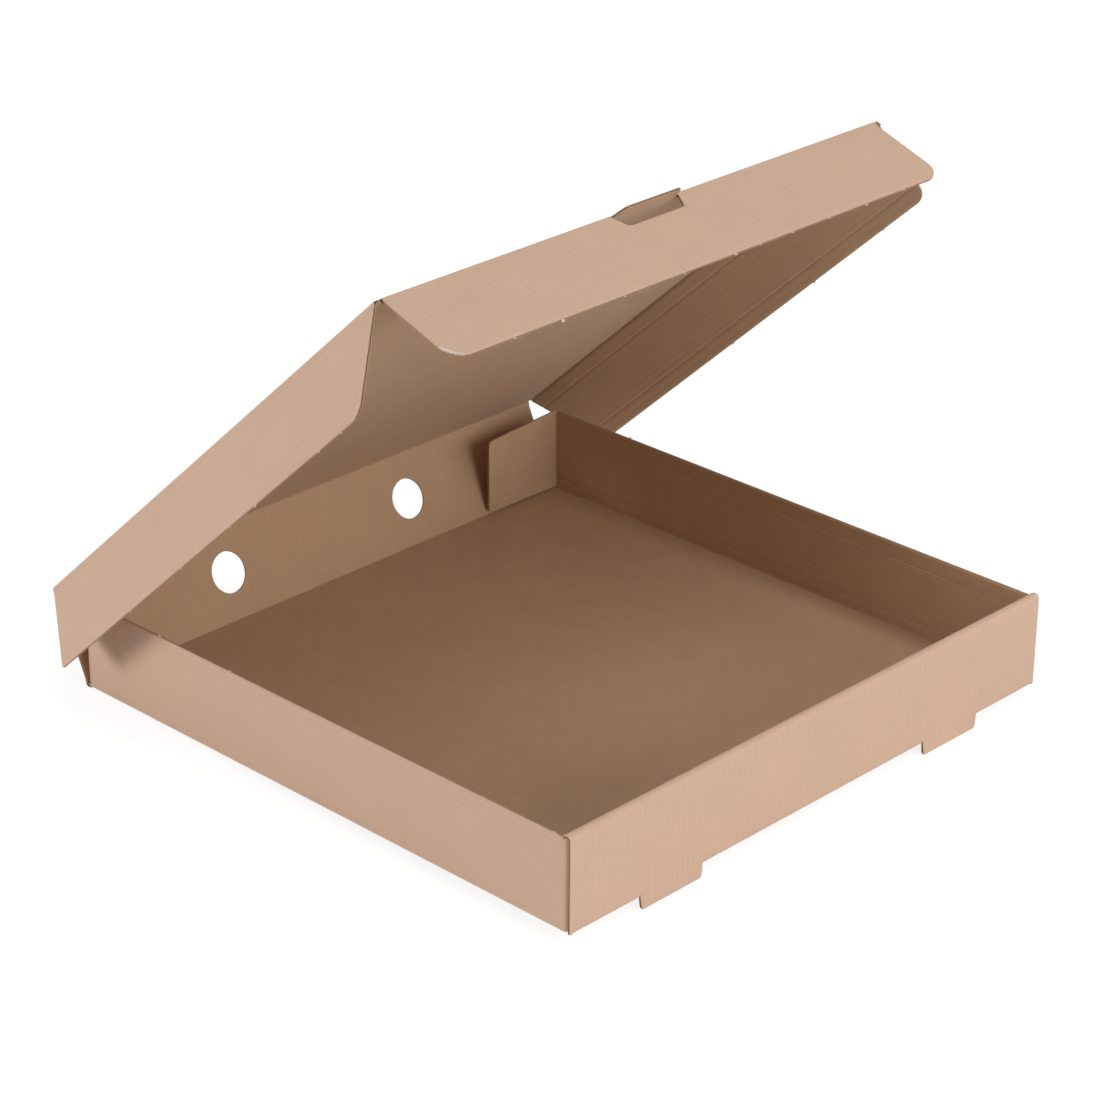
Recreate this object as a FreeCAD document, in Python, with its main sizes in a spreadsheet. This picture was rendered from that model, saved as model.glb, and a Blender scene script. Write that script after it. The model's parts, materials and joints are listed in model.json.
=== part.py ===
"""A folded pizza box of corrugated card, with its lid half open.

The box is one die-cut sheet. Its tray, back wall, lid and the lid's three flaps are drawn as flat or
folded panels of one board, and each panel that swings turns about the middle of the board at its fold.
Millimetres. X runs along the front, the front wall faces -Y and Z is up. The origin is the centre of
the underside of the base.
"""
import FreeCAD
import Part
import math
import os
import re
import Sketcher

# Driving dimensions: name, value, what it is
SIZES = (
    ("board", 1.5, "thickness of the corrugated board"),
    ("tray_width", 304.5, "tray across its side walls, outside"),
    ("tray_length", 305, "tray from the front wall to the upright back wall, outside"),
    ("front_height", 45.9, "top of the rolled front wall over the underside of the base"),
    ("side_height", 44.2, "top of the side walls over the underside of the base"),
    ("back_height", 46.2, "back wall from the fold at the base to the fold at the lid"),
    ("liner", 0.25, "thickness of each of the board's two outer papers"),
    ("flute_paper", 0.22, "thickness of the waved paper, measured across the board"),
    ("flute_pitch", 3.39, "from the crest of one flute to the next"),
    ("flute_mouth", 1.2, "how deep the flutes are drawn where a cut edge shows their ends"),
    ("crush_inset", 8, "crushed line from the fold or edge that it runs beside"),
    ("crush_width", 1.2, "width of a crushed line"),
    ("crush_depth", 0.2, "depth of a crushed line"),
    ("fold_outer", 2, "outside radius of a fixed fold"),
    ("fold_inner", 0.5, "inside radius of a fixed fold"),
    ("roll_outer", 2.4, "outside radius of the two folds on top of the front wall"),
    ("roll_inner", 0.9, "inside radius of the same folds"),
    ("fold_gap", 0.15, "gap between a swinging panel and the round edge that it turns on"),
    ("pocket_play", 0.25, "play on each face of a corner tab beside the front or back wall"),
    ("side_play", 0.25, "play between a side wall and the lid's flap outside it"),
    ("tuck_play", 0.35, "play at each end of a panel that tucks between the side walls"),
    ("panel_lift", 0.3, "gap under the inner front panel, over the base"),
    ("base_lip", 7.5, "base behind the front wall, as far as the slots reach"),
    ("foot_centre", 91.6, "middle of each foot from the middle of the front wall"),
    ("foot_width", 38.5, "foot where it leaves the front wall"),
    ("foot_drop", 6, "foot below the underside of the base"),
    ("foot_taper", 1.2, "how much each end of a foot draws in towards its tip"),
    ("foot_radius", 1.2, "rounding of a foot's corners"),
    ("lock_width", 34, "lock tab in the slot behind each foot"),
    ("lock_rise", 0.3, "tip of a lock tab over the underside of the base"),
    ("trapped_length", 42, "front corner tab, from the outside of the side wall"),
    ("trapped_trim", 1.4, "how much a front corner tab is cut back at top and bottom"),
    ("tab_length", 49, "back corner tab, from the outside of the side wall"),
    ("tab_top_fall", 2.6, "fall of a back corner tab's top edge to its free end"),
    ("tab_bottom_rise", 1.4, "rise of a back corner tab's bottom edge to its free end"),
    ("tab_radius", 2.5, "rounding of a back corner tab's free corners"),
    ("back_play", 0.3, "back wall short of the side walls' outside, each end"),
    ("vent_spread", 58.3, "middle of each vent from the middle of the back wall"),
    ("vent_height", 23.1, "middle of each vent over the fold at the base"),
    ("vent_width", 20, "diameter of a vent"),
    ("lid_length", 295, "lid from the back fold to the front fold"),
    ("flap_depth", 43.1, "lid flaps, from the outside of the lid to the free edge"),
    ("tongue_reach", 8, "tongue beyond the lid's front fold"),
    ("tongue_root", 39.6, "tongue where it leaves the lid"),
    ("tongue_tip", 33, "tongue along its free edge"),
    ("tongue_radius", 1.5, "rounding of the tongue's corners"),
    ("tongue_play", 0.35, "cut round the tongue in the front flap"),
    ("notch_radius", 3, "rounding of the notch's two inner corners"),
    ("front_corner", 10, "rounding of the front flap's lower corners"),
    ("side_back_cut", 8.5, "draw-in of a side flap's back end at the free edge"),
    ("side_front_cut", 16, "draw-in of a side flap's front end at the free edge"),
    ("side_corner", 9, "rounding of a side flap's front corner"),
    ("side_back_corner", 1, "rounding of a side flap's back corner"),
    ("side_front_gap", 0.6, "side flap short of the lid's front fold"),
    ("back_lean", 24.5, "lean of the back wall, in degrees from upright"),
    ("lid_opening", 18.2, "lid past square to the back wall, in degrees"),
    ("front_splay", 28.2, "front flap past square to the lid, in degrees"),
    ("left_splay", 30.2, "left flap past square to the lid, in degrees"),
    ("right_splay", 32, "right flap past square to the lid, in degrees"),
)

# Places along Y, from the front wall's outside to the back wall's, worked out from the sizes
FRONT_OUT = "-tray_length / 2"
FRONT_IN = f"({FRONT_OUT} + board)"
TRAPPED_OUT = f"({FRONT_IN} + pocket_play)"
TRAPPED_IN = f"({TRAPPED_OUT} + board)"
PANEL_OUT = f"({TRAPPED_IN} + pocket_play)"
PANEL_IN = f"({PANEL_OUT} + board)"
BACK_AXIS = "(tray_length / 2 - board / 2)"
TAB_OUT = "(tray_length / 2 - board - pocket_play)"
TAB_IN = f"({TAB_OUT} - board)"

# Places along X
SIDE_OUT = "tray_width / 2"
SIDE_IN = f"({SIDE_OUT} - board)"
TUCKED = f"({SIDE_IN} - tuck_play)"
BACK_END = f"({SIDE_OUT} - back_play)"
LID_AXIS = f"({SIDE_OUT} + side_play + board / 2)"

# Half the waved paper's height, the height of a gap's tip, and half the width of its foot
FLUTE_RISE = "(board / 2 - liner)"
GAP_TIP = f"({FLUTE_RISE} - flute_paper)"
GAP_FOOT = f"(({FLUTE_RISE} + {GAP_TIP}) * flute_pitch / (4 * {FLUTE_RISE}))"

# A swinging panel starts this far from its fold's axis, and a flap ends this far from it
REACH = "(board / 2 + fold_gap)"
FLAP_END = "(flap_depth - board / 2)"

# Where each kind of section is drawn, and which way its plane faces
PLANES = {"top": ("XY_Plane", 1), "front": ("XZ_Plane", -1), "side": ("YZ_Plane", 1)}

document = FreeCAD.newDocument("pizza_box")
sheet = document.addObject("Spreadsheet::Sheet", "Sizes")


def fill_sheet():
    """Writes each driving dimension into a cell of its own, with its name as alias."""
    for row, (name, value, note) in enumerate(SIZES, start=1):
        sheet.set(f"A{row}", str(value))
        sheet.setAlias(f"A{row}", name)
        sheet.set(f"B{row}", note)
    document.recompute()


def bound(expression):
    """Makes each size named in an expression a reference to its cell."""
    names = "|".join(sorted((name for name, value, note in SIZES), key=len, reverse=True))
    return re.sub(rf"\b({names})\b", r"Sizes.\1", str(expression))


def number(expression):
    """The value of an expression of the sizes."""
    return float(sheet.evalExpression(re.sub(r"Sizes\.", "", bound(expression))))


def sketch_on(body, name, facing, place):
    """A sketch on one of the body's origin planes, moved to a place along that plane's axis."""
    role, sign = PLANES[facing]
    plane = next(feature for feature in body.Origin.OriginFeatures if feature.Role == role)
    sketch = body.newObject("Sketcher::SketchObject", name)
    sketch.AttachmentSupport = [(plane, "")]
    sketch.MapMode = "FlatFace"
    sketch.setExpression("AttachmentOffset.Base.z", bound(f"{sign} * ({place})"))
    return sketch


def hold(sketch, geometry, end, across, up):
    """Ties a point of a sketch to its two coordinates."""
    for kind, place in (("DistanceX", across), ("DistanceY", up)):
        index = sketch.addConstraint(Sketcher.Constraint(kind, geometry, end, number(place)))
        sketch.setExpression(f"Constraints[{index}]", bound(place))


def rounding(sketch, before, corner, after, radius):
    """An arc in a corner, with the points where it meets the sides before and after it."""
    towards = (before - corner).normalize()
    onwards = (after - corner).normalize()
    half = towards.getAngle(onwards) / 2
    leave = corner + towards * (radius / math.tan(half))
    join = corner + onwards * (radius / math.tan(half))
    centre = corner + (towards + onwards).normalize() * (radius / math.sin(half))
    turns_left = (-towards).cross(onwards).z > 0
    first, last = (leave, join) if turns_left else (join, leave)
    start = math.atan2(first.y - centre.y, first.x - centre.x)
    stop = math.atan2(last.y - centre.y, last.x - centre.x)
    stop += 2 * math.pi if stop < start else 0
    circle = Part.Circle(centre, FreeCAD.Vector(0, 0, 1), radius)
    arc = sketch.addGeometry(Part.ArcOfCircle(circle, start, stop), False)
    return arc, turns_left, leave, join


def outline(sketch, corners):
    """A closed outline through corners (across, up) or (across, up, radius), each an expression."""
    count = len(corners)
    points = [FreeCAD.Vector(number(corner[0]), number(corner[1]), 0) for corner in corners]
    arcs = []
    for index, corner in enumerate(corners):
        here = points[index]
        if len(corner) == 3:
            after = points[(index + 1) % count]
            arcs.append(rounding(sketch, points[index - 1], here, after, number(corner[2])))
        else:
            arcs.append((None, None, here, here))
    sides = []
    for index in range(count):
        side = Part.LineSegment(arcs[index][3], arcs[(index + 1) % count][2])
        sides.append(sketch.addGeometry(side, False))
    for index, corner in enumerate(corners):
        arc, turns_left, leave, join = arcs[index]
        before = sides[index - 1]
        after = sides[index]
        if arc is None:
            sketch.addConstraint(Sketcher.Constraint("Coincident", before, 2, after, 1))
            hold(sketch, after, 1, corner[0], corner[1])
            continue
        entry, leaving = (1, 2) if turns_left else (2, 1)
        sketch.addConstraint(Sketcher.Constraint("Tangent", before, 2, arc, entry))
        sketch.addConstraint(Sketcher.Constraint("Tangent", arc, leaving, after, 1))
        radius = sketch.addConstraint(Sketcher.Constraint("Radius", arc, number(corner[2])))
        sketch.setExpression(f"Constraints[{radius}]", bound(corner[2]))
        tip = sketch.addGeometry(Part.Point(points[index]), True)
        sketch.addConstraint(Sketcher.Constraint("PointOnObject", tip, 1, before))
        sketch.addConstraint(Sketcher.Constraint("PointOnObject", tip, 1, after))
        hold(sketch, tip, 1, corner[0], corner[1])


def round_outline(sketch, across, up, radius):
    """A circle tied to its centre and radius."""
    middle = FreeCAD.Vector(number(across), number(up), 0)
    circle = Part.Circle(middle, FreeCAD.Vector(0, 0, 1), number(radius))
    ring = sketch.addGeometry(circle, False)
    index = sketch.addConstraint(Sketcher.Constraint("Radius", ring, number(radius)))
    sketch.setExpression(f"Constraints[{index}]", bound(radius))
    hold(sketch, ring, 3, across, up)


def pad(body, name, sketch, facing, length, both_ways=False):
    """Thickens a sketch along the positive axis, or equally both ways."""
    feature = body.newObject("PartDesign::Pad", name)
    feature.Profile = sketch
    feature.SideType = "Symmetric" if both_ways else "One side"
    feature.Reversed = PLANES[facing][1] < 0 and not both_ways
    feature.setExpression("Length", bound(length))
    sketch.Visibility = False
    return feature


def plate(body, name, facing, start, length, corners):
    """A panel of one outline, from a place along its axis and as thick as length."""
    sketch = sketch_on(body, f"{name}_outline", facing, start)
    outline(sketch, corners)
    return pad(body, name, sketch, facing, length)


def sheet_of_board(body, name, corners):
    """A flat panel of board, with the middle of its thickness at Z = 0."""
    sketch = sketch_on(body, f"{name}_outline", "top", "0")
    outline(sketch, corners)
    return pad(body, name, sketch, "top", "board", both_ways=True)


def round_edge(body, name, facing, start, length, across, up, both_ways=False):
    """The round edge of the board along a fold, as thick as the board."""
    sketch = sketch_on(body, f"{name}_outline", facing, start)
    round_outline(sketch, across, up, "board / 2")
    return pad(body, name, sketch, facing, length, both_ways)


def cut(body, name, facing, middle, length, draw):
    """Cuts an outline out of the body, equally both ways from a place along its axis."""
    document.recompute()
    before = body.Shape.Volume
    sketch = sketch_on(body, f"{name}_outline", facing, middle)
    draw(sketch)
    feature = body.newObject("PartDesign::Pocket", name)
    feature.Profile = sketch
    feature.SideType = "Symmetric"
    feature.setExpression("Length", bound(length))
    sketch.Visibility = False
    document.recompute()
    if body.Shape.Volume >= before:
        raise RuntimeError(f"{name} cuts nothing")
    return feature


def flute_mouths(body, name, facing, place, middle, across, run):
    """The open ends of the flutes on a cut edge, seen along the board's thickness and the edge.

    The first of them has the two gaps that one wave leaves beside it. The others repeat it along the
    edge. Middle is the middle of the edge, and across is the middle of the board's thickness.
    """
    count = f"floor(({run}) / flute_pitch)"
    first = f"({middle} - ({count} - 1) * flute_pitch / 2 - flute_pitch / 4)"
    second = f"({first} + flute_pitch / 2)"
    upright = facing == "side"

    def draw(pen):
        for start, way in ((first, 1), (second, -1)):
            foot = f"({across} - {way} * {FLUTE_RISE})"
            tip = f"({across} + {way} * {GAP_TIP})"
            gap = [(f"{start} - {GAP_FOOT}", foot), (f"{start} + {GAP_FOOT}", foot), (start, tip)]
            outline(pen, [(up, along) for along, up in gap] if upright else gap)

    mouth = cut(body, name, facing, place, "2 * flute_mouth", draw)
    repeat = body.newObject("PartDesign::LinearPattern", f"{name}_repeated")
    repeat.Originals = [mouth]
    role = "Z_Axis" if upright else "X_Axis"
    axis = next(feature for feature in body.Origin.OriginFeatures if feature.Role == role)
    repeat.Direction = (axis, [""])
    repeat.Mode = "Spacing"
    repeat.setExpression("Offset", bound("flute_pitch"))
    repeat.setExpression("Occurrences", bound(count))
    body.Tip = repeat
    document.recompute()


def crushed_line(body, name, facing, middle, length, face, inward, along, upright=False):
    """A shallow valley pressed into a face of the board: face is its surface, along its middle."""
    low = f"({face}) - {inward} * crush_depth"
    deep = f"({face}) + {inward} * crush_depth"
    valley = [
        (f"({along}) - crush_width", low),
        (f"({along}) + crush_width", low),
        (along, deep),
    ]
    if upright:
        valley = [(up, across) for across, up in valley]
    return cut(body, name, facing, middle, length, lambda pen: outline(pen, valley))


def new_body(name):
    """A body whose label names its file."""
    body = document.addObject("PartDesign::Body", name)
    body.Label = name
    return body


def rectangle(left, right, low, high):
    """The four corners of a rectangle, anticlockwise."""
    return [(left, low), (right, low), (right, high), (left, high)]


def front_wall(tray):
    """The double front wall: up from the base, over the top in two folds and down inside."""
    roll_under = "(front_height - board)"
    section = [
        (FRONT_OUT, "0", "fold_outer"),
        (f"{PANEL_IN} + base_lip", "0"),
        (f"{PANEL_IN} + base_lip", "board"),
        (FRONT_IN, "board", "fold_inner"),
        (FRONT_IN, roll_under, "roll_inner"),
        (PANEL_OUT, roll_under, "roll_inner"),
        (PANEL_OUT, "board + panel_lift"),
        (PANEL_IN, "board + panel_lift"),
        (PANEL_IN, "front_height", "roll_outer"),
        (FRONT_OUT, "front_height", "roll_outer"),
    ]
    sketch = sketch_on(tray, "front_wall_section", "side", "0")
    outline(sketch, section)
    pad(tray, "front_wall", sketch, "side", "tray_width", both_ways=True)
    for side, word in ((-1, "left"), (1, "right")):
        inner = f"{side} * {TUCKED}"
        outer = f"{side} * ({SIDE_OUT} + board)"
        ends = rectangle(*((outer, inner) if side < 0 else (inner, outer)), "-board", roll_under)
        middle = f"({FRONT_IN} + {PANEL_IN} + 2 * base_lip) / 2"
        depth = f"{PANEL_IN} + 2 * base_lip - {FRONT_IN}"
        cut(tray, f"{word}_end_of_inner_panel", "front", middle, depth, lambda pen: outline(pen, ends))


def base_and_sides(tray):
    """The base with both side walls folded up, as one section run from front to back."""
    section = [
        (f"-{SIDE_OUT}", "side_height"),
        (f"-{SIDE_OUT}", "0", "fold_outer"),
        (SIDE_OUT, "0", "fold_outer"),
        (SIDE_OUT, "side_height"),
        (SIDE_IN, "side_height"),
        (SIDE_IN, "board", "fold_inner"),
        (f"-{SIDE_IN}", "board", "fold_inner"),
        (f"-{SIDE_IN}", "side_height"),
    ]
    start = f"{TRAPPED_OUT} + fold_outer"
    length = f"{TAB_OUT} - {TRAPPED_OUT} - 2 * fold_outer"
    plate(tray, "base_and_sides", "front", start, length, section)
    middle = f"({TRAPPED_OUT} + {TAB_OUT}) / 2"
    for side, word in ((-1, "left"), (1, "right")):
        face = f"{side} * {SIDE_IN}"
        for height, place in (("board + crush_inset", "low"), ("side_height - crush_inset", "high")):
            name = f"{word}_{place}_crushed_line"
            crushed_line(tray, name, "front", middle, length, face, side, height, upright=True)
    edge = rectangle(f"-{BACK_END}", BACK_END, f"{TAB_IN} - fold_outer", BACK_AXIS)
    plate(tray, "base_back_edge", "top", "0", "board", edge)
    round_edge(tray, "base_back_fold", "side", "0", f"2 * {BACK_END}", BACK_AXIS, "board / 2", both_ways=True)


def corner_fold(tray, side, end, word):
    """The fold between a side wall and its corner tab, seen from above."""
    outside = f"{side} * {SIDE_OUT}"
    inside = f"{side} * {SIDE_IN}"
    stub = f"{side} * ({SIDE_OUT} - 3 * fold_outer)"
    face, back = (TRAPPED_OUT, TRAPPED_IN) if end < 0 else (TAB_OUT, TAB_IN)
    along = f"({back} - {end} * 2 * fold_outer)"
    section = [
        (outside, along),
        (outside, face, "fold_outer"),
        (stub, face),
        (stub, back),
        (inside, back, "fold_inner"),
        (inside, along),
    ]
    plate(tray, f"{word}_fold", "top", "board", "side_height - board", section)


def trapped_tab(tray, side, word):
    """A front corner tab, held between the two layers of the front wall."""
    low = "(board + trapped_trim)"
    high = "(side_height - trapped_trim)"
    root = f"{side} * ({SIDE_OUT} - 2 * fold_outer)"
    tip = f"{side} * ({SIDE_OUT} - trapped_length)"
    corners = [(root, low), (tip, low, "tab_radius"), (tip, high, "tab_radius"), (root, high)]
    plate(tray, f"{word}_tab", "front", TRAPPED_OUT, "board", corners)


def back_tab(tray, side, word):
    """A back corner tab, which narrows to its free end."""
    root = f"{side} * ({SIDE_OUT} - 2 * fold_outer)"
    tip = f"{side} * ({SIDE_OUT} - tab_length)"
    corners = [
        (root, "board + fold_inner"),
        (tip, "board + fold_inner + tab_bottom_rise", "tab_radius"),
        (tip, "side_height - tab_top_fall", "tab_radius"),
        (root, "side_height"),
    ]
    plate(tray, f"{word}_tab", "front", TAB_IN, "board", corners)
    middle = f"{side} * ({SIDE_OUT} - (tab_length + 3 * fold_outer) / 2)"
    length = "tab_length - 3 * fold_outer + 0.02"
    height = "board + crush_inset"
    crushed_line(tray, f"{word}_crushed_line", "side", middle, length, TAB_IN, 1, height, upright=True)
    middle = "(board + fold_inner + tab_bottom_rise + side_height - tab_top_fall) / 2"
    run = "side_height - tab_top_fall - board - fold_inner - tab_bottom_rise - 2 * tab_radius"
    flute_mouths(tray, f"{word}_flutes", "side", tip, middle, f"({TAB_IN} + board / 2)", run)


def foot(tray, side, word):
    """A foot cut out of the base, the slot that it leaves there, and the lock tab in the slot."""
    middle = f"{side} * foot_centre"
    slot = rectangle(
        f"{middle} - foot_width / 2",
        f"{middle} + foot_width / 2",
        FRONT_IN,
        f"{FRONT_IN} + foot_drop",
    )
    cut(tray, f"{word}_slot", "top", "board / 2", "board + panel_lift", lambda pen: outline(pen, slot))
    corners = [
        (f"{middle} - foot_width / 2", "fold_outer"),
        (f"{middle} - foot_width / 2 + foot_taper", "-foot_drop", "foot_radius"),
        (f"{middle} + foot_width / 2 - foot_taper", "-foot_drop", "foot_radius"),
        (f"{middle} + foot_width / 2", "fold_outer"),
    ]
    plate(tray, f"{word}_foot", "front", FRONT_OUT, "board", corners)
    lock = rectangle(
        f"{middle} - lock_width / 2",
        f"{middle} + lock_width / 2",
        "lock_rise",
        "board + panel_lift + fold_outer",
    )
    plate(tray, f"{word}_lock_tab", "front", PANEL_OUT, "board", lock)
    run = "foot_width - 2 * foot_taper - 2 * foot_radius"
    across = f"({FRONT_OUT} + board / 2)"
    flute_mouths(tray, f"{word}_foot_flutes", "top", "-foot_drop", middle, across, run)


def build_tray():
    """Base, side walls, double front wall, feet, lock tabs and the four corner tabs, all one sheet."""
    tray = new_body("tray")
    front_wall(tray)
    base_and_sides(tray)
    for side, word in ((-1, "left"), (1, "right")):
        corner_fold(tray, side, -1, f"{word}_front")
        corner_fold(tray, side, 1, f"{word}_back")
        trapped_tab(tray, side, f"{word}_front")
        back_tab(tray, side, f"{word}_back")
        foot(tray, side, word)
    return tray


def build_back_wall():
    """The back wall, drawn flat with Y up the wall, and its round vents and top edge."""
    wall = new_body("back_wall")
    sheet_of_board(wall, "back_panel", rectangle(f"-{BACK_END}", BACK_END, REACH, "back_height"))
    round_edge(wall, "back_top_fold", "side", "0", f"2 * {BACK_END}", "back_height", "0", both_ways=True)
    for side, word in ((-1, "left"), (1, "right")):
        centre = f"{side} * vent_spread"
        draw = lambda pen: round_outline(pen, centre, "vent_height", "vent_width / 2")
        cut(wall, f"{word}_vent", "top", "0", "2 * board", draw)
    return wall


def build_lid():
    """The lid panel, drawn flat with Y towards its front, its round edges and its tongue."""
    lid = new_body("lid")
    sheet_of_board(lid, "lid_panel", rectangle(f"-{LID_AXIS}", LID_AXIS, REACH, "lid_length"))
    for side, word in ((-1, "left"), (1, "right")):
        length = f"lid_length - {REACH}"
        round_edge(lid, f"{word}_fold", "front", REACH, length, f"{side} * {LID_AXIS}", "0")
    round_edge(lid, "front_fold", "side", "0", f"2 * {TUCKED}", "lid_length", "0", both_ways=True)
    tongue = [
        ("-tongue_root / 2", "lid_length - board"),
        ("tongue_root / 2", "lid_length - board"),
        ("tongue_root / 2", "lid_length"),
        ("tongue_tip / 2", "lid_length + tongue_reach", "tongue_radius"),
        ("-tongue_tip / 2", "lid_length + tongue_reach", "tongue_radius"),
        ("-tongue_root / 2", "lid_length"),
    ]
    sheet_of_board(lid, "tongue", tongue)
    run = "tongue_tip - 2 * tongue_radius"
    flute_mouths(lid, "tongue_flutes", "front", "lid_length + tongue_reach", "0", "0", run)
    return lid


def build_front_flap():
    """The lid's front flap, drawn flat with Y away from the fold, with the tongue's notch."""
    flap = new_body("front_flap")
    wide = "(tongue_root / 2 + tongue_play)"
    narrow = "(tongue_tip / 2 + tongue_play)"
    deep = "(tongue_reach + tongue_play)"
    corners = [
        (f"-{TUCKED}", REACH),
        (f"-{wide}", REACH),
        (f"-{narrow}", deep, "notch_radius"),
        (narrow, deep, "notch_radius"),
        (wide, REACH),
        (TUCKED, REACH),
        (TUCKED, FLAP_END, "front_corner"),
        (f"-{TUCKED}", FLAP_END, "front_corner"),
    ]
    sheet_of_board(flap, "front_flap_panel", corners)
    run = f"2 * ({TUCKED} - front_corner)"
    flute_mouths(flap, "front_flap_flutes", "front", FLAP_END, "0", "0", run)
    return flap


def build_side_flap(side, word):
    """A side flap of the lid, drawn flat beside the fold with Y towards the lid's front."""
    flap = new_body(f"{word}_flap")
    near = f"{side} * {REACH}"
    far = f"{side} * {FLAP_END}"
    corners = [
        (near, REACH),
        (far, f"{REACH} + side_back_cut", "side_back_corner"),
        (far, "lid_length - side_front_gap - side_front_cut", "side_corner"),
        (near, "lid_length - side_front_gap"),
    ]
    sheet_of_board(flap, f"{word}_flap_panel", corners)
    for along, place in (("crush_inset", "fold"), (f"{FLAP_END} - crush_inset", "edge")):
        name = f"{word}_{place}_crushed_line"
        middle = f"{side} * ({along})"
        crushed_line(flap, name, "front", "lid_length / 2", "2 * lid_length", "board / 2", -1, middle)
    return flap


def folded(parent, place, axis, degrees):
    """A panel's placement: at a place on its parent's panel, turned about its fold."""
    turn = FreeCAD.Rotation(FreeCAD.Vector(*axis), degrees)
    return parent.multiply(FreeCAD.Placement(FreeCAD.Vector(*place), turn))


def fold_up(wall, lid, front_flap, left_flap, right_flap):
    """Puts each swinging panel where its folds hold it. A square fold turns by 90 degrees."""
    along = (1, 0, 0)
    base = FreeCAD.Placement()
    hinge = (0, number(BACK_AXIS), number("board / 2"))
    wall.Placement = folded(base, hinge, along, number("90 - back_lean"))
    top = (0, number("back_height"), 0)
    lid.Placement = folded(wall.Placement, top, along, number("90 - lid_opening"))
    front = (0, number("lid_length"), 0)
    front_flap.Placement = folded(lid.Placement, front, along, number("90 - front_splay"))
    left = (number(f"-{LID_AXIS}"), 0, 0)
    left_flap.Placement = folded(lid.Placement, left, (0, 1, 0), number("90 - left_splay"))
    right = (number(LID_AXIS), 0, 0)
    right_flap.Placement = folded(lid.Placement, right, (0, 1, 0), number("right_splay - 90"))


def check(bodies):
    """Stops if any feature failed or any body is not one valid solid."""
    for thing in document.Objects:
        if "Invalid" in thing.State or "Error" in thing.State:
            raise RuntimeError(f"{thing.Name} failed: {thing.State}")
    for body in bodies:
        shape = body.Shape
        if shape.isNull() or not shape.isValid() or len(shape.Solids) != 1:
            raise RuntimeError(f"{body.Label} is not one valid solid")


def main():
    """Builds every panel, folds the box and writes one file for each body."""
    fill_sheet()
    tray = build_tray()
    wall = build_back_wall()
    lid = build_lid()
    front_flap = build_front_flap()
    left_flap = build_side_flap(-1, "left")
    right_flap = build_side_flap(1, "right")
    document.recompute()
    fold_up(wall, lid, front_flap, left_flap, right_flap)
    document.recompute()
    bodies = (tray, wall, lid, front_flap, left_flap, right_flap)
    check(bodies)
    os.makedirs("parts", exist_ok=True)
    for body in bodies:
        body.Shape.exportStep(f"parts/{body.Label}.step")
        print(body.Label, round(body.Shape.Volume), body.Shape.BoundBox)


main()
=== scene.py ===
"""A folded pizza box of corrugated card: its boards, its folds, its torn nicks and a plain studio.

Every panel is a real sheet of board: an outer liner, an inner liner and the waved paper between them.
Metres. X runs along the front, the front wall faces -Y and Z is up.
"""
import json
import math

import bpy
import numpy as np
from bpy.props import FloatProperty, FloatVectorProperty, PointerProperty
from bpy.types import Operator, Panel, PropertyGroup
from mathutils import Matrix, Vector


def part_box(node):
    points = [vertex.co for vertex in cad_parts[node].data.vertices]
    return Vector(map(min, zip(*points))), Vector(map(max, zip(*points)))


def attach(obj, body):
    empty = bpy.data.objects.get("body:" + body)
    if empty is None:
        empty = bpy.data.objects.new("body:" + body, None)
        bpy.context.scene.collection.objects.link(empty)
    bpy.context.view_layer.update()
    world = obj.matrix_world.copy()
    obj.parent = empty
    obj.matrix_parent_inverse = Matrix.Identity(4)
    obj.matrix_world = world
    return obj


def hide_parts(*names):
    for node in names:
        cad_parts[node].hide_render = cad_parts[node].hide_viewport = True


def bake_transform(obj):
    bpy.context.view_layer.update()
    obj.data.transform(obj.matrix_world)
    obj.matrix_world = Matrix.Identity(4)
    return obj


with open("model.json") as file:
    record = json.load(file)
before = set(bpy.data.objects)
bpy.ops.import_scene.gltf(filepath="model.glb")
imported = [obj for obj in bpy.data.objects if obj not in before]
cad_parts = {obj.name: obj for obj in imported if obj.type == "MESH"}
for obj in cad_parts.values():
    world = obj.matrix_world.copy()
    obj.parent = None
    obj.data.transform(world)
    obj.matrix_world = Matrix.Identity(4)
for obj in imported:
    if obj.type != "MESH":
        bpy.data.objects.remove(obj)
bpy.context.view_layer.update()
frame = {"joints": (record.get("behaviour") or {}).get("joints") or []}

bl_info = {
    "name": "Folding Pizza Box",
    "version": (1, 0, 0),
    "blender": (4, 5, 0),
    "location": "View3D > Sidebar > Pizza Box",
    "description": "Dresses a folding pizza box in real corrugated board, in a plain studio",
    "category": "Object",
}

JOINTS = {joint["name"]: joint for joint in frame["joints"]}
MM = 0.001

# The two ends of the tray's box give its outer sizes
TRAY_LOW, TRAY_HIGH = (np.array(corner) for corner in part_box("tray"))
SIDE_OUT = float(TRAY_HIGH[0])
FRONT_OUT = float(TRAY_LOW[1])
FRONT_TOP = float(TRAY_HIGH[2])
FOOT_DROP = float(-TRAY_LOW[2])
WALL_END = float(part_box("back_wall")[1][0])
FLAP_END = float(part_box("front_flap")[1][0])

# Places of the three material slots on every board
OUTSIDE, INSIDE, CORE = 0, 1, 2

# Width of a step in an edge, where two columns stand side by side
HAIR = 1e-5

X = np.array((1.0, 0.0, 0.0))
Y = np.array((0.0, 1.0, 0.0))
Z = np.array((0.0, 0.0, 1.0))


def length(name, default, description):
    """A property that holds a length in metres."""
    return FloatProperty(name=name, description=description, default=default, unit="LENGTH", precision=5)


def colour(name, default, description):
    """A property that holds a linear colour."""
    return FloatVectorProperty(
        name=name, description=description, default=default, size=3, min=0, max=1, subtype="COLOR"
    )


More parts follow.
